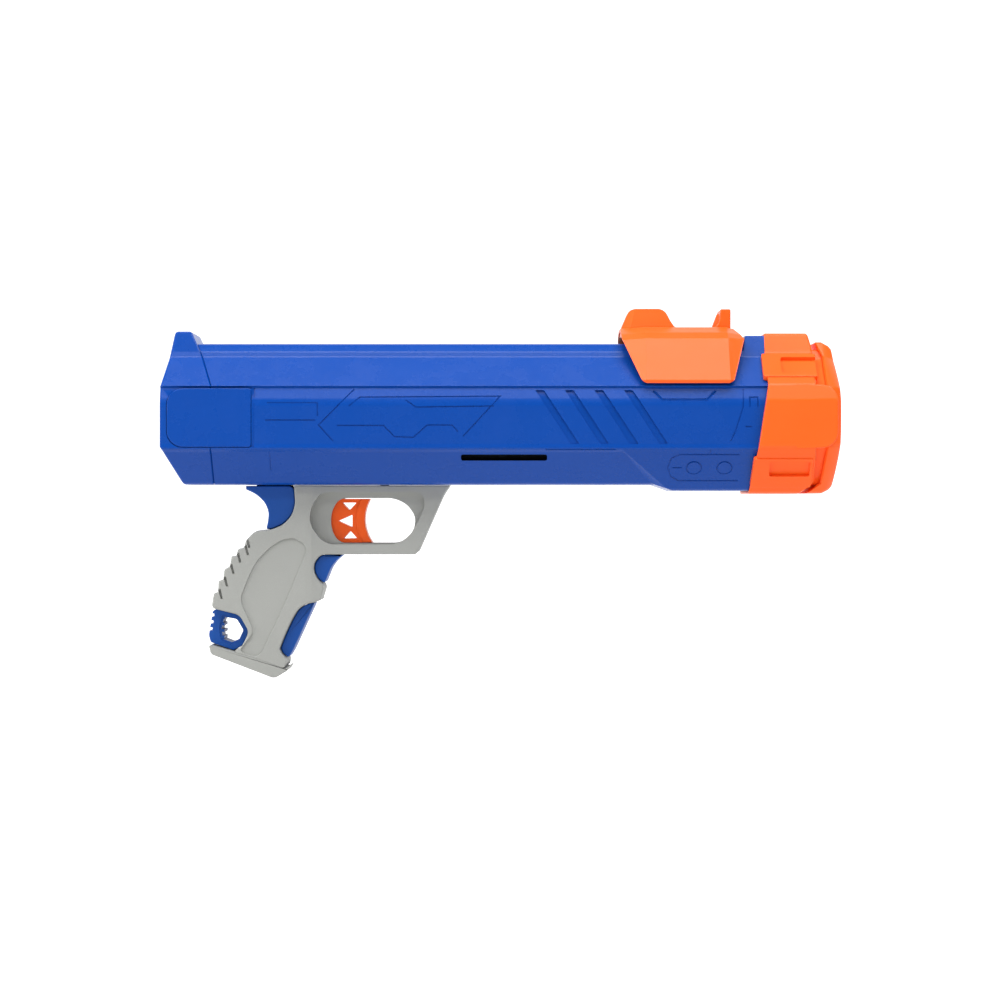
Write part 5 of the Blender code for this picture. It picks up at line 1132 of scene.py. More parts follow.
bm = bmesh.new()
for side in SIDE_NAMES:
    facet_block(bm, True, side, rectangle(356.4, -8.2, 388.4, 13.2), PAD_FLOOR, PAD_RISE, PAD_BENDS, 0.5)
    facet_block(bm, False, side, LOWER_PAD, PAD_FLOOR, PAD_RISE, PAD_BENDS, 0.5)
weld(muzzle_shroud, bm)
bm = bmesh.new()
for side in SIDE_NAMES:
    facet_block(bm, True, side, rectangle(367.5, -5.2, 392.0, 9.6), WINDOW_FLOOR, WINDOW_TOP,
                {0: 1.6, 3: 1.6})
    facet_block(bm, False, side, rectangle(360.0, -3.6, 383.9, 7.7), WINDOW_FLOOR, WINDOW_TOP,
                {k: 1.2 for k in range(4)})
carve(muzzle_shroud, bm)
ring_spots = [cross_screw(f"ring_screw_{i}") for i in (1, 2)]
bm = bmesh.new()
for x, z, seat, tip in ring_spots:
    depth = RING_SIDE + OVER - seat
    turned(bm, well(depth, depth + 4), 24, across(x, z, RING_SIDE + OVER))
carve(muzzle_shroud, bm)
dress(muzzle_shroud, "launcher", "orange_plastic", "muzzle_ring", edge=0.3)

# %% [markdown]
# ## The priming handle
#
# The orange saddle rides on the casing's back. Its skirt follows the upper facets, its ends
# are cut off on a slant, and on top a hump and a prong give the hand something to pull.
# The saddle is a skin like the casing, with a thin wall. The hump and the prong are blocks,
# chamfered where the light shows a facet, and welded on.

# %% Saddle
DECK = 52.3
FOOT = 17.4
EAVES = 45.0
SADDLE_REAR = 287.0
SADDLE_FRONT = 336.7
FACE_OUT = 3.4
slope_out = (SIDE - TOP_HALF) / (BODY_TOP - RIDGE)
foot_y = SIDE + 0.6 - (FOOT - RIDGE) * slope_out


def saddle_section(out, deck=0.0):
    """Half of the saddle's line; out is its distance from the casing's facet."""
    return [(0, DECK - deck), (16.5 - deck * 0.4, DECK - deck), (26.6 - deck, 48.4 - deck * 0.8),
            (32.4 - deck, 44.6 - deck * 0.6), (foot_y + out, FOOT + 1.6), (foot_y + out - 0.8, FOOT)]


def saddle_end(top_x, foot_x, lean):
    """An end of the saddle: slanted from the eaves to the foot, and leaning above them."""
    def x_at(z):
        drop = max(EAVES - z, 0) / (EAVES - FOOT)
        return top_x - lean * max(z - EAVES, 0) + (foot_x - top_x) * drop
    return x_at


rear_edge = saddle_end(273.3, 285.2, 0.0)
front_edge = saddle_end(346.4, 338.5, 0.85)
SADDLE_WALL = 1.3
FULL = saddle_section(FACE_OUT)
FULL_IN = saddle_section(FACE_OUT - SADDLE_WALL * 1.4, SADDLE_WALL)
NARROW = ([(0, DECK - 0.6), (12.5, DECK - 0.6), (23.0, 47.4), (28.6, 44.0)]
          + saddle_section(FACE_OUT - 1.5)[4:])
NARROW_IN = ([(0, DECK - 2.4), (11.0, DECK - 2.4), (21.6, 46.0), (27.2, 42.8)]
             + saddle_section(0.5)[4:])
SADDLE_BENDS = {1: 1.4, 2: 0.6, 3: 0.9, 4: 0.5}
outer = [
    (NARROW, SADDLE_BENDS, rear_edge), (NARROW, SADDLE_BENDS, lambda z: rear_edge(z) + 0.8),
    (FULL, SADDLE_BENDS, lambda z: SADDLE_REAR), (FULL, SADDLE_BENDS, lambda z: SADDLE_REAR + 0.8),
    (FULL, SADDLE_BENDS, lambda z: SADDLE_FRONT - 0.8), (FULL, SADDLE_BENDS, lambda z: SADDLE_FRONT),
    (NARROW, SADDLE_BENDS, lambda z: front_edge(z) - 0.8), (NARROW, SADDLE_BENDS, front_edge),
]
inner = [
    (NARROW_IN, SADDLE_BENDS, front_edge), (FULL_IN, SADDLE_BENDS, lambda z: SADDLE_FRONT),
    (FULL_IN, SADDLE_BENDS, lambda z: SADDLE_REAR), (NARROW_IN, SADDLE_BENDS, rear_edge),
]
priming_saddle = piece("priming_saddle", walled_skin(list(SIDE_NAMES), outer, inner))
print("saddle skin:", len(priming_saddle.data.polygons), "faces")

# %% Hump
HUMP = [
    (274.0, 47.3), (274.0, 52.3), (278.4, 62.4), (281.6, 63.6), (297.7, 63.6), (300.6, 61.4),
    (303.4, 56.0), (305.4, 53.0), (309.0, 51.0), (309.0, 47.3),
]
HUMP_HALF = 14.6
HUMP_LEAN = 0.2
bm = bmesh.new()
slab(bm, HUMP, -HUMP_HALF, HUMP_HALF, {2: 1.6, 3: 2.0, 4: 1.8, 5: 1.2, 8: 1.5})
bevel(bm, sharp_edges(bm, 50, beyond(HUMP_HALF - 0.1)), 0.5, 2)
for vert in bm.verts:
    vert.co.y -= math.copysign(HUMP_LEAN, vert.co.y) * max(vert.co.z - DECK, 0)
hump = piece("hump", bm)

# The hump's rear corners are cut off on a slant, along its raked back.
HUMP_REAR = 273.9
RAKE = 0.436
CUT_FOOT, CUT_TOP = 47.0, 65.0
bm = bmesh.new()
for side in SIDE_NAMES:
    start, end = HUMP_REAR - (DECK - CUT_FOOT) * RAKE, HUMP_REAR + (CUT_TOP - DECK) * RAKE
    outline = [(start - 5, CUT_FOOT), (start, CUT_FOOT), (end, CUT_TOP), (end - 5, CUT_TOP)]
    corner = slab(bm, outline, side * (HUMP_HALF - 5.5), side * (HUMP_HALF + 0.5))
    for vert in set(corner):
        if abs(vert.co.y) > HUMP_HALF and vert.co.x > start + (vert.co.z - CUT_FOOT) * RAKE - 1:
            vert.co.x += 6.0
carve(hump, bm)
combine(priming_saddle, hump, "UNION")

# %% Prong, gusset and stem
PRONG = [
    (326.2, 47.3), (326.2, 50.6), (331.0, 52.8), (332.9, 56.0), (333.5, 63.4), (339.6, 63.4),
    (339.6, 50.9), (337.4, 47.3),
]
PRONG_HALF = 12.3
GUSSET = [(328.6, 51.6), (335.6, 51.6), (335.6, 61.0), (332.2, 61.0)]
GUSSET_HALF = 4.5
STEM_REAR, STEM_FRONT = 308.05, 335.95
STEM_HALF = 3.4
bm = bmesh.new()
slab(bm, PRONG, -PRONG_HALF, PRONG_HALF, {2: 2.0, 3: 1.5, 4: 0.8, 5: 0.9})
bevel(bm, sharp_edges(bm, 50, beyond(PRONG_HALF - 0.1)), 0.8, 3)
weld(priming_saddle, bm)
bm = bmesh.new()
slab(bm, GUSSET, -GUSSET_HALF, GUSSET_HALF)
rims = sharp_edges(bm, 30, lambda e: lengthwise(e) and all(v.co.x < 333 for v in e.verts))
bevel(bm, rims, 2.0, 1)
weld(priming_saddle, bm)
carriage_top = box_mm("handle_carriage")[1].z
bm = bmesh.new()
block(bm, (STEM_REAR, -STEM_HALF, carriage_top + SEAM), (STEM_FRONT, STEM_HALF, DECK - 0.8))
weld(priming_saddle, bm)

# %% Screw wells and rounded foot corners of the saddle
WELL_START = DECK + 14


def down_screw(node):
    """Where a screw down into the carriage sits: its X, the seat of its head, its tip."""
    low, high = box_mm(node)
    return (low.x + high.x) / 2, high.z - HEAD_RISE, low.z


def downwards(x, z):
    """A matrix that points the X axis of a turned shape down."""
    return Matrix.Translation((x, 0, z)) @ Matrix.Rotation(math.pi / 2, 4, "Y")


saddle_spots = [down_screw(f"carriage_screw_{i}") for i in (1, 2)]
bm = bmesh.new()
for x, seat, tip in saddle_spots:
    depth = WELL_START - seat
    turned(bm, well(depth, depth + 8), 24, downwards(x, WELL_START))
carve(priming_saddle, bm)
bm = bmesh.new()
for edge_at, inwards in ((rear_edge, 1), (front_edge, -1)):
    corner = (edge_at(FOOT) + 0.3 * inwards, FOOT + 0.2)
    outline = [
        corner, (edge_at(30.0) - 1.2 * inwards, 30.0), (edge_at(30.0) - 9.0 * inwards, 30.0),
        (edge_at(FOOT) - 9.0 * inwards, FOOT - 2), (edge_at(FOOT) + 12.0 * inwards, FOOT - 2),
        (edge_at(FOOT) + 12.0 * inwards, FOOT - 0.7),
    ]
    slab(bm, outline, -50.0, 50.0, {0: 2.3}, 6)
carve(priming_saddle, bm)
dress(priming_saddle, "handle", "orange_plastic", "priming_handle", edge=0.3)

# %% [markdown]
# ## The grip's outline
#
# All the grip's outlines are drawn as shares of its reach and its drop from one corner, so
# a few pairs of numbers give each curve, and neighbours share their seam. Vertex bevels then
# turn the drawn corners into the soft curves of the real one.

# %% Shares of the grip
GRIP_X, GRIP_Z = 27.0, -43.9
GRIP_REACH, GRIP_DROP = 144.0, 115.0
GRIP_TOP_SHARE = -1.2 / GRIP_DROP
UPPER_SEAT = [(0.459, 0.351), (0.432, 0.393), (0.429, 0.435), (0.444, 0.479)]
LOWER_SEAT = [
    (0.437, 0.599), (0.396, 0.609), (0.364, 0.638), (0.336, 0.699), (0.304, 0.789),
    (0.288, 0.843), (0.296, 0.867),
]
BASE_SEAT = [(0.312, 0.945), (0.2, 0.895), (0.095, 0.856)]
LOOP_SEAT = [(0.131, 0.831), (0.161, 0.754), (0.121, 0.666), (0.004, 0.630)]
TANG_SEAT = [
    (0.228, 0.222), (0.256, 0.220), (0.304, 0.195), (0.340, 0.145), (0.354, 0.086),
    (0.348, GRIP_TOP_SHARE),
]
TEETH = [
    (0.014, 0.554), (0.032, 0.544), (0.034, 0.489), (0.054, 0.479), (0.058, 0.427),
    (0.081, 0.414), (0.088, 0.360), (0.109, 0.355), (0.115, 0.320), (0.141, 0.315),
    (0.147, 0.278), (0.175, 0.240), (0.198, 0.224),
]
GRIP = (
    [(0.999, GRIP_TOP_SHARE), (0.972, 0.039), (0.868, 0.333), (0.851, 0.351)]
    + UPPER_SEAT + [(0.475, 0.516), (0.457, 0.590)] + LOWER_SEAT + [(0.319, 0.899)]
    + BASE_SEAT + LOOP_SEAT + TEETH + TANG_SEAT
)
POCKET = [
    (0.487, 0.025), (0.873, 0.025), (0.892, 0.065), (0.892, 0.100), (0.857, 0.204),
    (0.790, 0.298), (0.475, 0.298), (0.422, 0.211), (0.412, 0.159), (0.424, 0.091), (0.456, 0.036),
]
FINGER_HOLE = [
    (0.534, 0.056), (0.765, 0.056), (0.820, 0.090), (0.848, 0.143), (0.853, 0.175),
    (0.845, 0.229), (0.793, 0.291), (0.534, 0.291), (0.500, 0.221), (0.500, 0.128),
]
PALM_PANEL = [
    (0.404, 0.330), (0.300, 0.640), (0.205, 0.893), (0.112, 0.857), (0.180, 0.752), (0.121, 0.586),
    (0.161, 0.460), (0.192, 0.383), (0.249, 0.310), (0.296, 0.272), (0.345, 0.262), (0.390, 0.290),
]
HOLLOW = [
    (0.335, 0.080), (0.350, 0.26), (0.350, 0.38), (0.360, 0.47), (0.345, 0.60), (0.285, 0.74),
    (0.24, 0.74), (0.19, 0.70), (0.105, 0.625), (0.075, 0.60), (0.115, 0.45), (0.165, 0.34),
    (0.218, 0.262), (0.235, 0.200), (0.245, 0.080),
]
GRIP_HALF = round(-grip_low.y, 1)
GUARD_HALF = 13.5
POCKET_FLOOR = 10.4
BAY_HALF = 8.0
MITRE_FLOOR = 0.5
print("grip: reach", GRIP_REACH, "drop", GRIP_DROP, "half width", GRIP_HALF)


def on_grip(shares):
    """Shares of the grip's reach and drop as X and Z."""
    return [(GRIP_X + GRIP_REACH * x, GRIP_Z - GRIP_DROP * z) for x, z in shares]


def drawn_in(outline, distance):
    """Move a closed outline's edges in by a distance."""
    count = len(outline)
    area = sum(
        outline[i][0] * outline[(i + 1) % count][1] - outline[(i + 1) % count][0] * outline[i][1]
        for i in range(count))
    turn = math.copysign(1, area)
    made = []
    for i in range(count):
        here = Vector(outline[i])
        into = (here - Vector(outline[i - 1])).normalized()
        onto = (Vector(outline[(i + 1) % count]) - here).normalized()
        first, second = Vector((into.y, -into.x)) * turn, Vector((onto.y, -onto.x)) * turn
        mitre = (first + second).normalized()
        made.append(tuple(here - mitre * (distance / max(mitre.dot(first), MITRE_FLOOR))))
    return made


# %% [markdown]
# ## The grip's halves
#
# Each half is the outline extruded across, with its outer edge rounded. The part round the
# trigger is thinner than the part in the palm. The pocket, the finger hole, the recessed
# palm panel and the short slots at the teeth are cut in; inside, the half is hollow for the
# core, the trigger and the sear.

# %% Grip halves
GUARD_REAR, GUARD_FRONT = 84.0, 104.0
GUARD_STEPS = 5
BASE_NEAR = 0.9


def palm(x):
    """Half thickness of the grip at a place along X."""
    share = min(max((x - GUARD_REAR) / (GUARD_FRONT - GUARD_REAR), 0), 1)
    share = share * share * (3 - 2 * share)
    return GRIP_HALF - (GRIP_HALF - GUARD_HALF) * share


def soft_bends(outline, ratio, least, most):
    """Bends for the corners that have room for one, limited by the shorter edge beside it."""
    count = len(outline)
    bends = {}
    for i in range(count):
        here = Vector(outline[i])
        near = min((here - Vector(outline[i - 1])).length,
                   (here - Vector(outline[(i + 1) % count])).length)
        if near * ratio >= least:
            bends[i] = min(near * ratio, most)
    return bends


base_line = [Vector(spot) for spot in on_grip([BASE_SEAT[0], BASE_SEAT[-1]])]


def by_base(place):
    """Whether a place lies on the seam between the grip and its base cap."""
    along = (base_line[1] - base_line[0]).normalized()
    arm = Vector((place.x, place.z)) - base_line[0]
    return abs(arm.x * along.y - arm.y * along.x) < BASE_NEAR


def off_base(edge):
    """A test for edges that don't lie on that seam, which stays tight."""
    return not all(by_base(v.co) for v in edge.verts)


def grip_half(name, side):
    """One half of the grip: its outline across, drawn in at the guard, with a round rim."""
    bm = bmesh.new()
    outline = on_grip(GRIP)
    bends = soft_bends(outline[1:-1], 0.35, 1.2, 2.5)
    bends = {corner + 1: bend for corner, bend in bends.items()}
    slab(bm, outline, side * SEAM / 2, side * GRIP_HALF, bends, 3)
    for step in range(GUARD_STEPS + 1):
        x = GUARD_REAR + (GUARD_FRONT - GUARD_REAR) * step / GUARD_STEPS
        split_at(bm, (x, 0, 0), (1, 0, 0))
    for vert in bm.verts:
        if abs(vert.co.y) > 1:
            vert.co.y = side * palm(vert.co.x)
    outer_face = beyond(5)
    bevel(bm, sharp_edges(bm, 45, lambda e: outer_face(e) and off_base(e)), 1.0, 3)
    return piece(name, bm)


def chamfered_tool(outline, floor, top, draft, side):
    """A cutter that is wider at its top than at its floor, for a sloping wall."""
    bm = bmesh.new()
    slab(bm, drawn_in(outline, draft), side * floor, side * top, soft_bends(outline, 0.3, 0.4, 4.0))
    middle = Vector((sum(p[0] for p in outline), 0, sum(p[1] for p in outline))) / len(outline)
    for vert in bm.verts:
        if abs(vert.co.y) > (floor + top) / 2:
            arm = vert.co - Vector((middle.x, vert.co.y, middle.z))
            vert.co += arm.normalized() * draft * 2
    return bm


grips = {side: grip_half(f"grip_half_{name}", side) for side, name in SIDE_NAMES.items()}

# %% Pocket, finger hole, palm panel and slots
PANEL_DEPTH = 1.0
PANEL_DRAFT = 0.35
TOOTH_SLOT = [(0, 0), (1.5, 0.5), (2.9, -5.4), (1.6, -5.6)]
TOOTH_SLOT_DEPTH = 2.2
tooth_notches = [TEETH[i] for i in (1, 3, 5, 7, 9, 10)]
pocket, finger, panel = on_grip(POCKET), on_grip(FINGER_HOLE), on_grip(PALM_PANEL)
for side, half in grips.items():
    past = side * (GRIP_HALF + OVER)
    bm = bmesh.new()
    slab(bm, pocket, side * POCKET_FLOOR, past, soft_bends(pocket, 0.4, 1.0, 6.0), 5)
    carve(half, bm)
    bm = bmesh.new()
    slab(bm, finger, side * -OVER, past, soft_bends(finger, 0.42, 1.0, 8.0), 5)
    carve(half, bm)
    low, high = GRIP_HALF - PANEL_DEPTH, GRIP_HALF + PANEL_DEPTH
    carve(half, chamfered_tool(panel, low, high, PANEL_DRAFT, side))
    bm = bmesh.new()
    for x, z in on_grip(tooth_notches):
        start = Vector((x + 0.1, z + 1.2))
        slot = [(start.x + dx, start.y + dz) for dx, dz in TOOTH_SLOT]
        slab(bm, slot, side * (GRIP_HALF - TOOTH_SLOT_DEPTH), past)
    carve(half, bm)
print("grip half, carved outside:", len(grips[-1].data.polygons), "faces")

# %% Hollow, trigger bay, sear bay and screw wells
GRIP_WALL = 2.4
bay_top = trigger_high.z + SEAM
TRIGGER_BAY = rectangle(74.0, -77.5, 110.0, bay_top)
SEAR_BAY = [
    (88.25, -40.0), (88.25, -50.8), (110.0, -50.8), (110.0, -49.5), (138.0, -49.5), (138.0, -40.0),
]
bays = ((on_grip(HOLLOW), GRIP_HALF - GRIP_WALL), (TRIGGER_BAY, BAY_HALF), (SEAR_BAY, BAY_HALF))
for side, half in grips.items():
    for outline, width in bays:
        bm = bmesh.new()
        slab(bm, outline, side * -OVER, side * width)
        carve(half, bm)

grip_spots = [cross_screw(f"grip_screw_{i}") for i in (1, 2, 3, 4)]
bm = bmesh.new()
for x, z, seat, tip in grip_spots:
    depth = GRIP_HALF + OVER - seat
    turned(bm, well(depth, depth + seat + 1), 24, across(x, z, GRIP_HALF + OVER))
carve(grips[1], bm)
for side, name in SIDE_NAMES.items():
    dress(grips[side], "launcher", "grey_plastic", f"grip_shell_{name}", edge=0.3)

# %% [markdown]
# ## Blue core, inserts and lanyard loop
#
# The blue pieces are moulded in a softer plastic and let into the grey grip. The core's tang
# fills the hollow behind the hand's web, two inserts lie under the fingers, and the loop
# for a wrist cord has small teeth on its rear bar.

# %% Soft blue pieces
SOFT_GAP = 0.3


def soft_piece(name, shares, half, edge, ratio=0.35, gap=SOFT_GAP):
    """A soft moulding: an outline of the grip, a little smaller, with a round rim."""
    bm = bmesh.new()
    outline = drawn_in(on_grip(shares), gap)
    slab(bm, outline, -half, half, soft_bends(outline, ratio, edge * 1.2, 3.0), 4)
    bevel(bm, sharp_edges(bm, 50, lambda e: lengthwise(e) and off_base(e)), edge, 3)
    return piece(name, bm)


TANG_REAR = [
    (0.217, GRIP_TOP_SHARE), (0.144, GRIP_TOP_SHARE), (0.144, 0.012), (0.188, 0.038),
    (0.224, 0.081), (0.239, 0.130), (0.236, 0.175),
]
SPINE = [
    (0.255, 0.10), (0.320, 0.10), (0.320, 0.26), (0.300, 0.42), (0.225, 0.62), (0.125, 0.60),
    (0.170, 0.42), (0.235, 0.26),
]
NECK_HALF = 8.0
SHOE_HALF = 14.0
core = soft_piece("palm_core", TANG_SEAT + TANG_REAR, 14.0, 0.9)
bm = bmesh.new()
slab(bm, on_grip(SPINE), -6.5, 6.5)
weld(core, bm)
bm = bmesh.new()
block(bm, (54.0, -NECK_HALF, -47.0), (75.0, NECK_HALF, BODY_BOTTOM + 4.5))
weld(core, bm)
bm = bmesh.new()
block(bm, (48.5, -SHOE_HALF, BODY_BOTTOM + 2.8), (80.5, SHOE_HALF, BODY_BOTTOM + 5.8))
weld(core, bm)
dress(core, "launcher", "insert_blue", "grip_core")

# %% Inserts under the fingers
UPPER_INSERT = UPPER_SEAT + [(0.475, 0.506), (0.503, 0.419), (0.527, 0.380), (0.555, 0.351)]
LOWER_INSERT = LOWER_SEAT + [(0.324, 0.896), (0.345, 0.850)]
for name, shares in (("upper", UPPER_INSERT), ("lower", LOWER_INSERT)):
    insert = soft_piece(f"finger_insert_{name}", shares, 12.0, 0.9, 0.3)
    dress(insert, "launcher", "insert_blue", f"front_insert_{name}")

# %% Lanyard loop with its teeth
LOOP = LOOP_SEAT + [(-0.014, 0.774), (-0.006, 0.812), (0.095, 0.856)]
LOOP_HOLE = [
    (0.052, 0.678), (0.105, 0.690), (0.133, 0.748), (0.115, 0.796), (0.085, 0.812),
    (0.048, 0.794), (0.040, 0.742),
]
LOOP_HALF = 10.0
LOOP_FRAME = 1.3
FRAME_DEPTH = 0.7
NOTCH_PITCH = 4.15
TOOTH_PITCH = 3.9
loop = soft_piece("cord_loop", LOOP, LOOP_HALF, 0.7, 0.25)
hole = on_grip(LOOP_HOLE)
frame_line = drawn_in(hole, -LOOP_FRAME)
bm = bmesh.new()
slab(bm, hole, -LOOP_HALF - OVER, LOOP_HALF + OVER, soft_bends(hole, 0.15, 0.3, 1.0))
carve(loop, bm)
bm = bmesh.new()
for side in SIDE_NAMES:
    slab(bm, frame_line, side * (LOOP_HALF - FRAME_DEPTH), side * (LOOP_HALF + OVER),
         soft_bends(frame_line, 0.15, 0.3, 1.0))
carve(loop, bm)
bm = bmesh.new()
for i in range(3):
    z = -120.9 - NOTCH_PITCH * i
    block(bm, (22.0, -LOOP_HALF - OVER, z - 1.0), (28.6 - 0.5 * i, LOOP_HALF + OVER, z + 1.0))
carve(loop, bm)
bm = bmesh.new()
for i in range(4):
    z = -122.4 - TOOTH_PITCH * i
    block(bm, (31.0, -LOOP_HALF + 0.8, z - 0.85), (34.7, LOOP_HALF - 0.8, z + 0.85))
weld(loop, bm)
dress(loop, "launcher", "insert_blue", "lanyard_loop", edge=0.25)

# %% Base cap
BASE = BASE_SEAT + [
    (-0.008, 0.820), (0.002, 0.871), (0.267, 0.998), (0.320, 0.958), (0.332, 0.928),
]
base = soft_piece("foot_cap", BASE, GRIP_HALF, 0.7, 0.25, 0.12)
dress(base, "launcher", "grey_plastic", "grip_base_cap")

# %% [markdown]
# ## The trigger
#
# The trigger slides straight back between the grip's halves. Its blade has three triangular
# holes, and its front is a curved finger pad that stands a little proud of the blade.

# %% Trigger
BLADE_HALF = 6.7
PAD_HALF = trigger_high.y
PAD_THICKNESS = 5.6
BLADE_INSET = 1.5
BLADE_TOP, BLADE_FOOT = -50.8, -77.2
front_curve = [
    (122.4, BLADE_TOP), (120.7, -54.6), (119.5, -59.0), (119.2, -64.0), (119.8, -68.5),
    (121.4, -73.2), (123.8, BLADE_FOOT),
]
shelf_z = trigger_high.z - 2.77
blade = [(x - BLADE_INSET, z) for x, z in front_curve]
blade += [(trigger_low.x, BLADE_FOOT), (trigger_low.x, shelf_z), (96.3, shelf_z), (102.6, BLADE_TOP)]
bm = bmesh.new()
slab(bm, blade, -BLADE_HALF, BLADE_HALF, {k: 1.2 for k in range(1, 6)}, 3)
trigger_blade = piece("trigger_blade", bm)
bm = bmesh.new()
pad = front_curve + [(x - PAD_THICKNESS, z) for x, z in reversed(front_curve)]
slab(bm, pad, -PAD_HALF, PAD_HALF, {k: 1.2 for k in (1, 2, 3, 4, 5, 8, 9, 10, 11, 12)}, 3)
bevel(bm, sharp_edges(bm, 50, lengthwise), 0.6, 3)
weld(trigger_blade, bm)

# %% Holes of the trigger and the bore for its spring
HOLES = [
    [(105.4, -53.1), (114.2, -53.1), (109.9, -57.7)],
    [(103.0, -64.1), (111.7, -60.3), (111.7, -68.0)],
    [(106.2, -74.8), (114.5, -74.6), (110.5, -70.1)],
]
HOLE_CORNER = 0.5
SPRING_BORE = 3.85
SPRING_DEPTH = 9.0
bm = bmesh.new()
for hole in HOLES:
    slab(bm, hole, -PAD_HALF - OVER, PAD_HALF + OVER, {k: HOLE_CORNER for k in range(3)})
carve(trigger_blade, bm)
bm = bmesh.new()
bore_z = trigger_high.z - (trigger_high.z - trigger_low.z) * 0.576
bore_place = Matrix.Translation((trigger_low.x - OVER, 0, bore_z))
turned(bm, [(0, 0), (0, SPRING_BORE), (SPRING_DEPTH, SPRING_BORE), (SPRING_DEPTH, 0)], 24, bore_place)
carve(trigger_blade, bm)
dress(trigger_blade, "trigger", "orange_plastic", "trigger", edge=0.25)

# %% [markdown]
# ## Screws
#
# A self-tapping screw is turned from a profile: a domed head, a shank with thread ridges and
# a point. A cross is cut into its head. One function makes every screw of the launcher at
# its own length and turns it to its place.

# %% Screws
HEAD, SHANK = 2.8, 1.3
HEAD_PROFILE = [(-HEAD_RISE, 0), (-2.15, 0.9), (-1.85, 1.8), (-1.2, 2.5), (-0.5, HEAD), (0, HEAD)]
THREAD_PITCH = 1.1
CROSS_HALF = 0.32
CROSS_REACH = 1.6
BODY_SCREW, GRIP_SCREW = 26.0, 15.0


def screw_mesh(length):
    """A screw along +X, with the seat of its head at the origin."""
    bm = bmesh.new()
    profile = HEAD_PROFILE + [(0, SHANK * 0.9)]
    for i in range(int((length - 2.5) / THREAD_PITCH)):
        profile += [(0.6 + i * THREAD_PITCH, SHANK * 0.78), (1.15 + i * THREAD_PITCH, SHANK)]
    profile += [(length - 1.6, SHANK * 0.7), (length, 0)]
    turned(bm, profile, 20)
    screw = piece("screw", bm)
    cross = bmesh.new()
    for turn in (0, math.pi / 2):
        verts = block(cross, (-2.6, -CROSS_REACH, -CROSS_HALF), (-1.15, CROSS_REACH, CROSS_HALF))
        bmesh.ops.rotate(cross, verts=verts, cent=(0, 0, 0), matrix=Matrix.Rotation(turn, 3, "X"))
    carve(screw, cross, own=True)
    return screw


def place_screw(name, length, place, body, node):
    """Make a screw and put its place, in millimetres, into its mesh."""
    screw = screw_mesh(length)
    screw.name = screw.data.name = name
    into_metres = Matrix.Translation(place.translation * MM) @ place.to_3x3().to_4x4()
    screw.data.transform(into_metres)
    dress(screw, body, "steel", node)


for i, (x, z) in enumerate(body_spots, 1):
    place_screw(f"casing_fastener_{i}", BODY_SCREW, across(x, z, SEAT), "launcher", f"body_screw_{i}")
for i, (x, z, seat, tip) in enumerate(grip_spots, 1):
    place_screw(f"grip_fastener_{i}", GRIP_SCREW, across(x, z, seat), "launcher", f"grip_screw_{i}")
for i, (x, z, seat, tip) in enumerate(ring_spots, 1):
    place_screw(f"ring_fastener_{i}", seat - tip, across(x, z, seat), "launcher", f"ring_screw_{i}")
for i, (x, seat, tip) in enumerate(saddle_spots, 1):
    place_screw(f"saddle_fastener_{i}", seat - tip, downwards(x, seat), "handle", f"carriage_screw_{i}")

# %% [markdown]
# ## What shows in the bore
#
# Looking into the muzzle one sees the lip, the ring of soft fingers that holds a ball, the
# smooth tube, and at its end the pad on the plunger.

# %% Barrel
BORE_R, TUBE_R = 34.0, barrel_high.z
BARREL_SLOT = 3.6
ROUND_SIDES = 96
bm = bmesh.new()
turned(bm, [(barrel_low.x, BORE_R), (barrel_low.x, TUBE_R), (barrel_high.x, TUBE_R),
            (barrel_high.x, BORE_R), (barrel_low.x, BORE_R)], ROUND_SIDES)
launch_tube = piece("launch_tube", bm)
bm = bmesh.new()
block(bm, (139.4, -BARREL_SLOT, 0), (309.2, BARREL_SLOT, TUBE_R + OVER))
block(bm, (119.4, -BARREL_SLOT, -TUBE_R - OVER), (278.6, BARREL_SLOT, 0))
carve(launch_tube, bm)
dress(launch_tube, "launcher", "barrel_plastic", "barrel_tube")

# %% Fingers that hold the ball
SLITS = 12
SLIT_HALF = 0.8
SLIT_REACH = 34.2
low, high = box_mm("ball_retainer")
bm = bmesh.new()
turned(bm, [(low.x, 31.8), (low.x, 35.8), (high.x, 35.8), (high.x, 32.6), (low.x + 2.6, 31.8),
            (low.x, 31.8)], ROUND_SIDES)
fingers = piece("ball_fingers", bm)
bm = bmesh.new()
for i in range(SLITS // 2):
    verts = block(
        bm, (low.x - OVER, -SLIT_REACH, -SLIT_HALF), (high.x + OVER, SLIT_REACH, SLIT_HALF))
    turn = Matrix.Rotation(math.tau * (i + 0.5) / SLITS, 3, "X")
    bmesh.ops.rotate(bm, verts=verts, cent=(0, 0, 0), matrix=turn)
carve(fingers, bm, own=True)
dress(fingers, "launcher", "dark_rubber", "ball_retainer")

# %% Pad on the plunger
low, high = box_mm("plunger_pad")
PAD_R = high.z
PAD_FACE = [
    (-1.5, PAD_R), (-0.4, PAD_R - 0.5), (0, PAD_R - 1.6), (0, 24.5), (-0.8, 23.8), (-0.8, 22.8),
    (0, 22.1), (0, 15.5), (-0.8, 14.8), (-0.8, 13.8), (0, 13.1), (0, 6.8), (-0.8, 6.0),
]
bm = bmesh.new()
face_line = [(high.x + x, r) for x, r in PAD_FACE]
turned(bm, [(low.x, 6.0), (low.x, PAD_R)] + face_line + [(low.x, 6.0)], 72)
dress(piece("plunger_cushion", bm), "plunger", "dark_rubber", "plunger_pad")
low, high = box_mm("pad_screw")
seat = high.x - HEAD_RISE
forward = Matrix.Translation((seat, 0, 0)) @ Matrix.Rotation(math.pi, 4, "Z")
place_screw("cushion_fastener", seat - low.x, forward, "plunger", "pad_screw")

# %% [markdown]
# ## Finishes for the parts that stay
#
# The hidden parts keep the frame's own shapes. Each takes the finish that the record names
# for it.

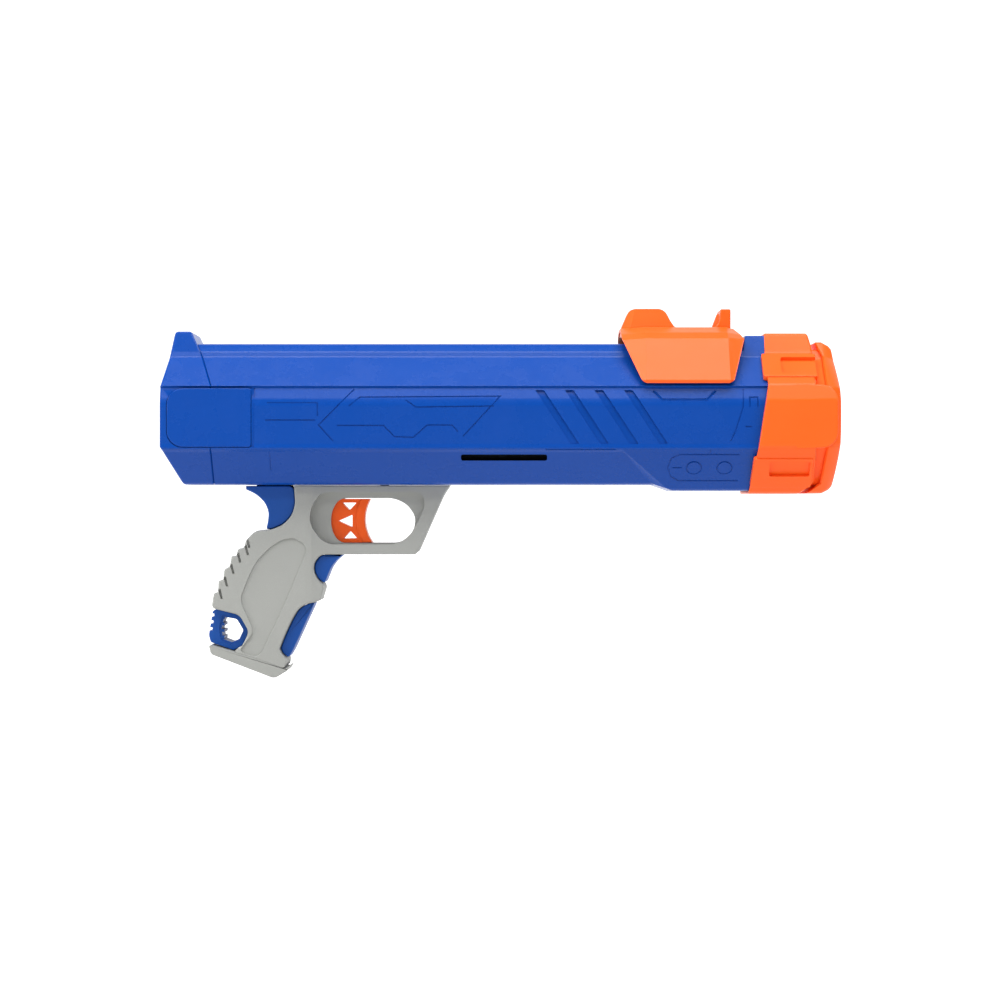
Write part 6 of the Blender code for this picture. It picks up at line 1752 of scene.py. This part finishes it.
# %% Finishes on the frame's parts
for entry in frame["record"]["subparts"]:
    node = frame["nodes"][entry["node"]]
    for slot in node.material_slots:
        slot.material = FINISHES[entry["material_slot"]]

# %% [markdown]
# ## Floor, light and camera
#
# The launcher stands over white card that curves up behind it. A large soft box above gives
# the upper facets their light, a narrow strip in front gives the side its long highlight, a
# box off the rear end shapes the back, and a pale world fills the shadows.

# %% Sweep
FLOOR_GAP = 0.0012
SWEEP_HALF = 4.0
floor_z = frame_box[0][2] - FLOOR_GAP
SWEEP = [(-3.0, floor_z), (1.6, floor_z), (2.4, 1.2), (2.4, 3.5)]
sweep_mesh = bmesh.new()
verts = [sweep_mesh.verts.new((-SWEEP_HALF, y, z)) for y, z in SWEEP]
edges = [sweep_mesh.edges.new(pair) for pair in zip(verts, verts[1:])]
bevel(sweep_mesh, [verts[1]], 1.0, 16, "VERTICES")
grown = bmesh.ops.extrude_edge_only(sweep_mesh, edges=sweep_mesh.edges[:])["geom"]
far = [v for v in grown if isinstance(v, bmesh.types.BMVert)]
bmesh.ops.translate(sweep_mesh, verts=far, vec=(2 * SWEEP_HALF, 0, 0))
mesh = bpy.data.meshes.new("sweep")
sweep_mesh.to_mesh(mesh)
sweep_mesh.free()
sweep = bpy.data.objects.new("sweep", mesh)
bpy.context.scene.collection.objects.link(sweep)
mesh.shade_smooth()
card = Finish("card")
card.set(
    Base_Color=(0.5, 0.5, 0.5, 1), Roughness=0.9 + card.noise(40.0) * 0.05,
    Emission_Color=(1, 1, 1, 1), Emission_Strength=0.92)
mesh.materials.append(card.material)
print("floor at", round(floor_z, 4), "m")


# %% Lights and world
def soft_light(name, place, target, size, power):
    """A rectangular light that looks from a place at a target, in metres and watts."""
    light = bpy.data.lights.new(name, "AREA")
    light.shape = "RECTANGLE"
    light.size, light.size_y = size
    light.energy = power
    lamp = bpy.data.objects.new(name, light)
    lamp.location = place
    lamp.rotation_euler = (Vector(target) - Vector(place)).to_track_quat("-Z", "Y").to_euler()
    bpy.context.scene.collection.objects.link(lamp)


WORLD_STRENGTH = 0.15
soft_light("top_box", (0.2, -0.50, 1.15), (0.2, 0, 0), (2.0, 0.8), 30)
soft_light("front_strip", (0.2, -1.2, 0.98), (0.2, 0, 0), (2.0, 0.14), 4.5)
soft_light("rear_box", (-1.3, -0.25, 0.25), (0.1, 0, 0), (0.9, 0.9), 13)
world = bpy.data.worlds.new("studio")
world.use_nodes = True
world.node_tree.nodes["Background"].inputs["Color"].default_value = (1, 1, 1, 1)
world.node_tree.nodes["Background"].inputs["Strength"].default_value = WORLD_STRENGTH
scene = bpy.context.scene
scene.world = world
scene.view_settings.view_transform = "Standard"
print("lights:", len(bpy.data.lights))

# %% Camera, square to the side that is seen first
CAMERA_OUT = 1.53
LENS = 90.8
camera_data = bpy.data.cameras.new("camera")
camera_data.sensor_width = 36
camera_data.lens = LENS
camera = bpy.data.objects.new("camera", camera_data)
camera.location = (LOOK_X * MM, -CAMERA_OUT, LOOK_Z * MM)
camera.rotation_euler = (math.pi / 2, 0, 0)
scene.collection.objects.link(camera)
scene.camera = camera

# %% Sizes for comparison, and the end
print("frame box", [[round(v, 4) for v in corner] for corner in frame_box])
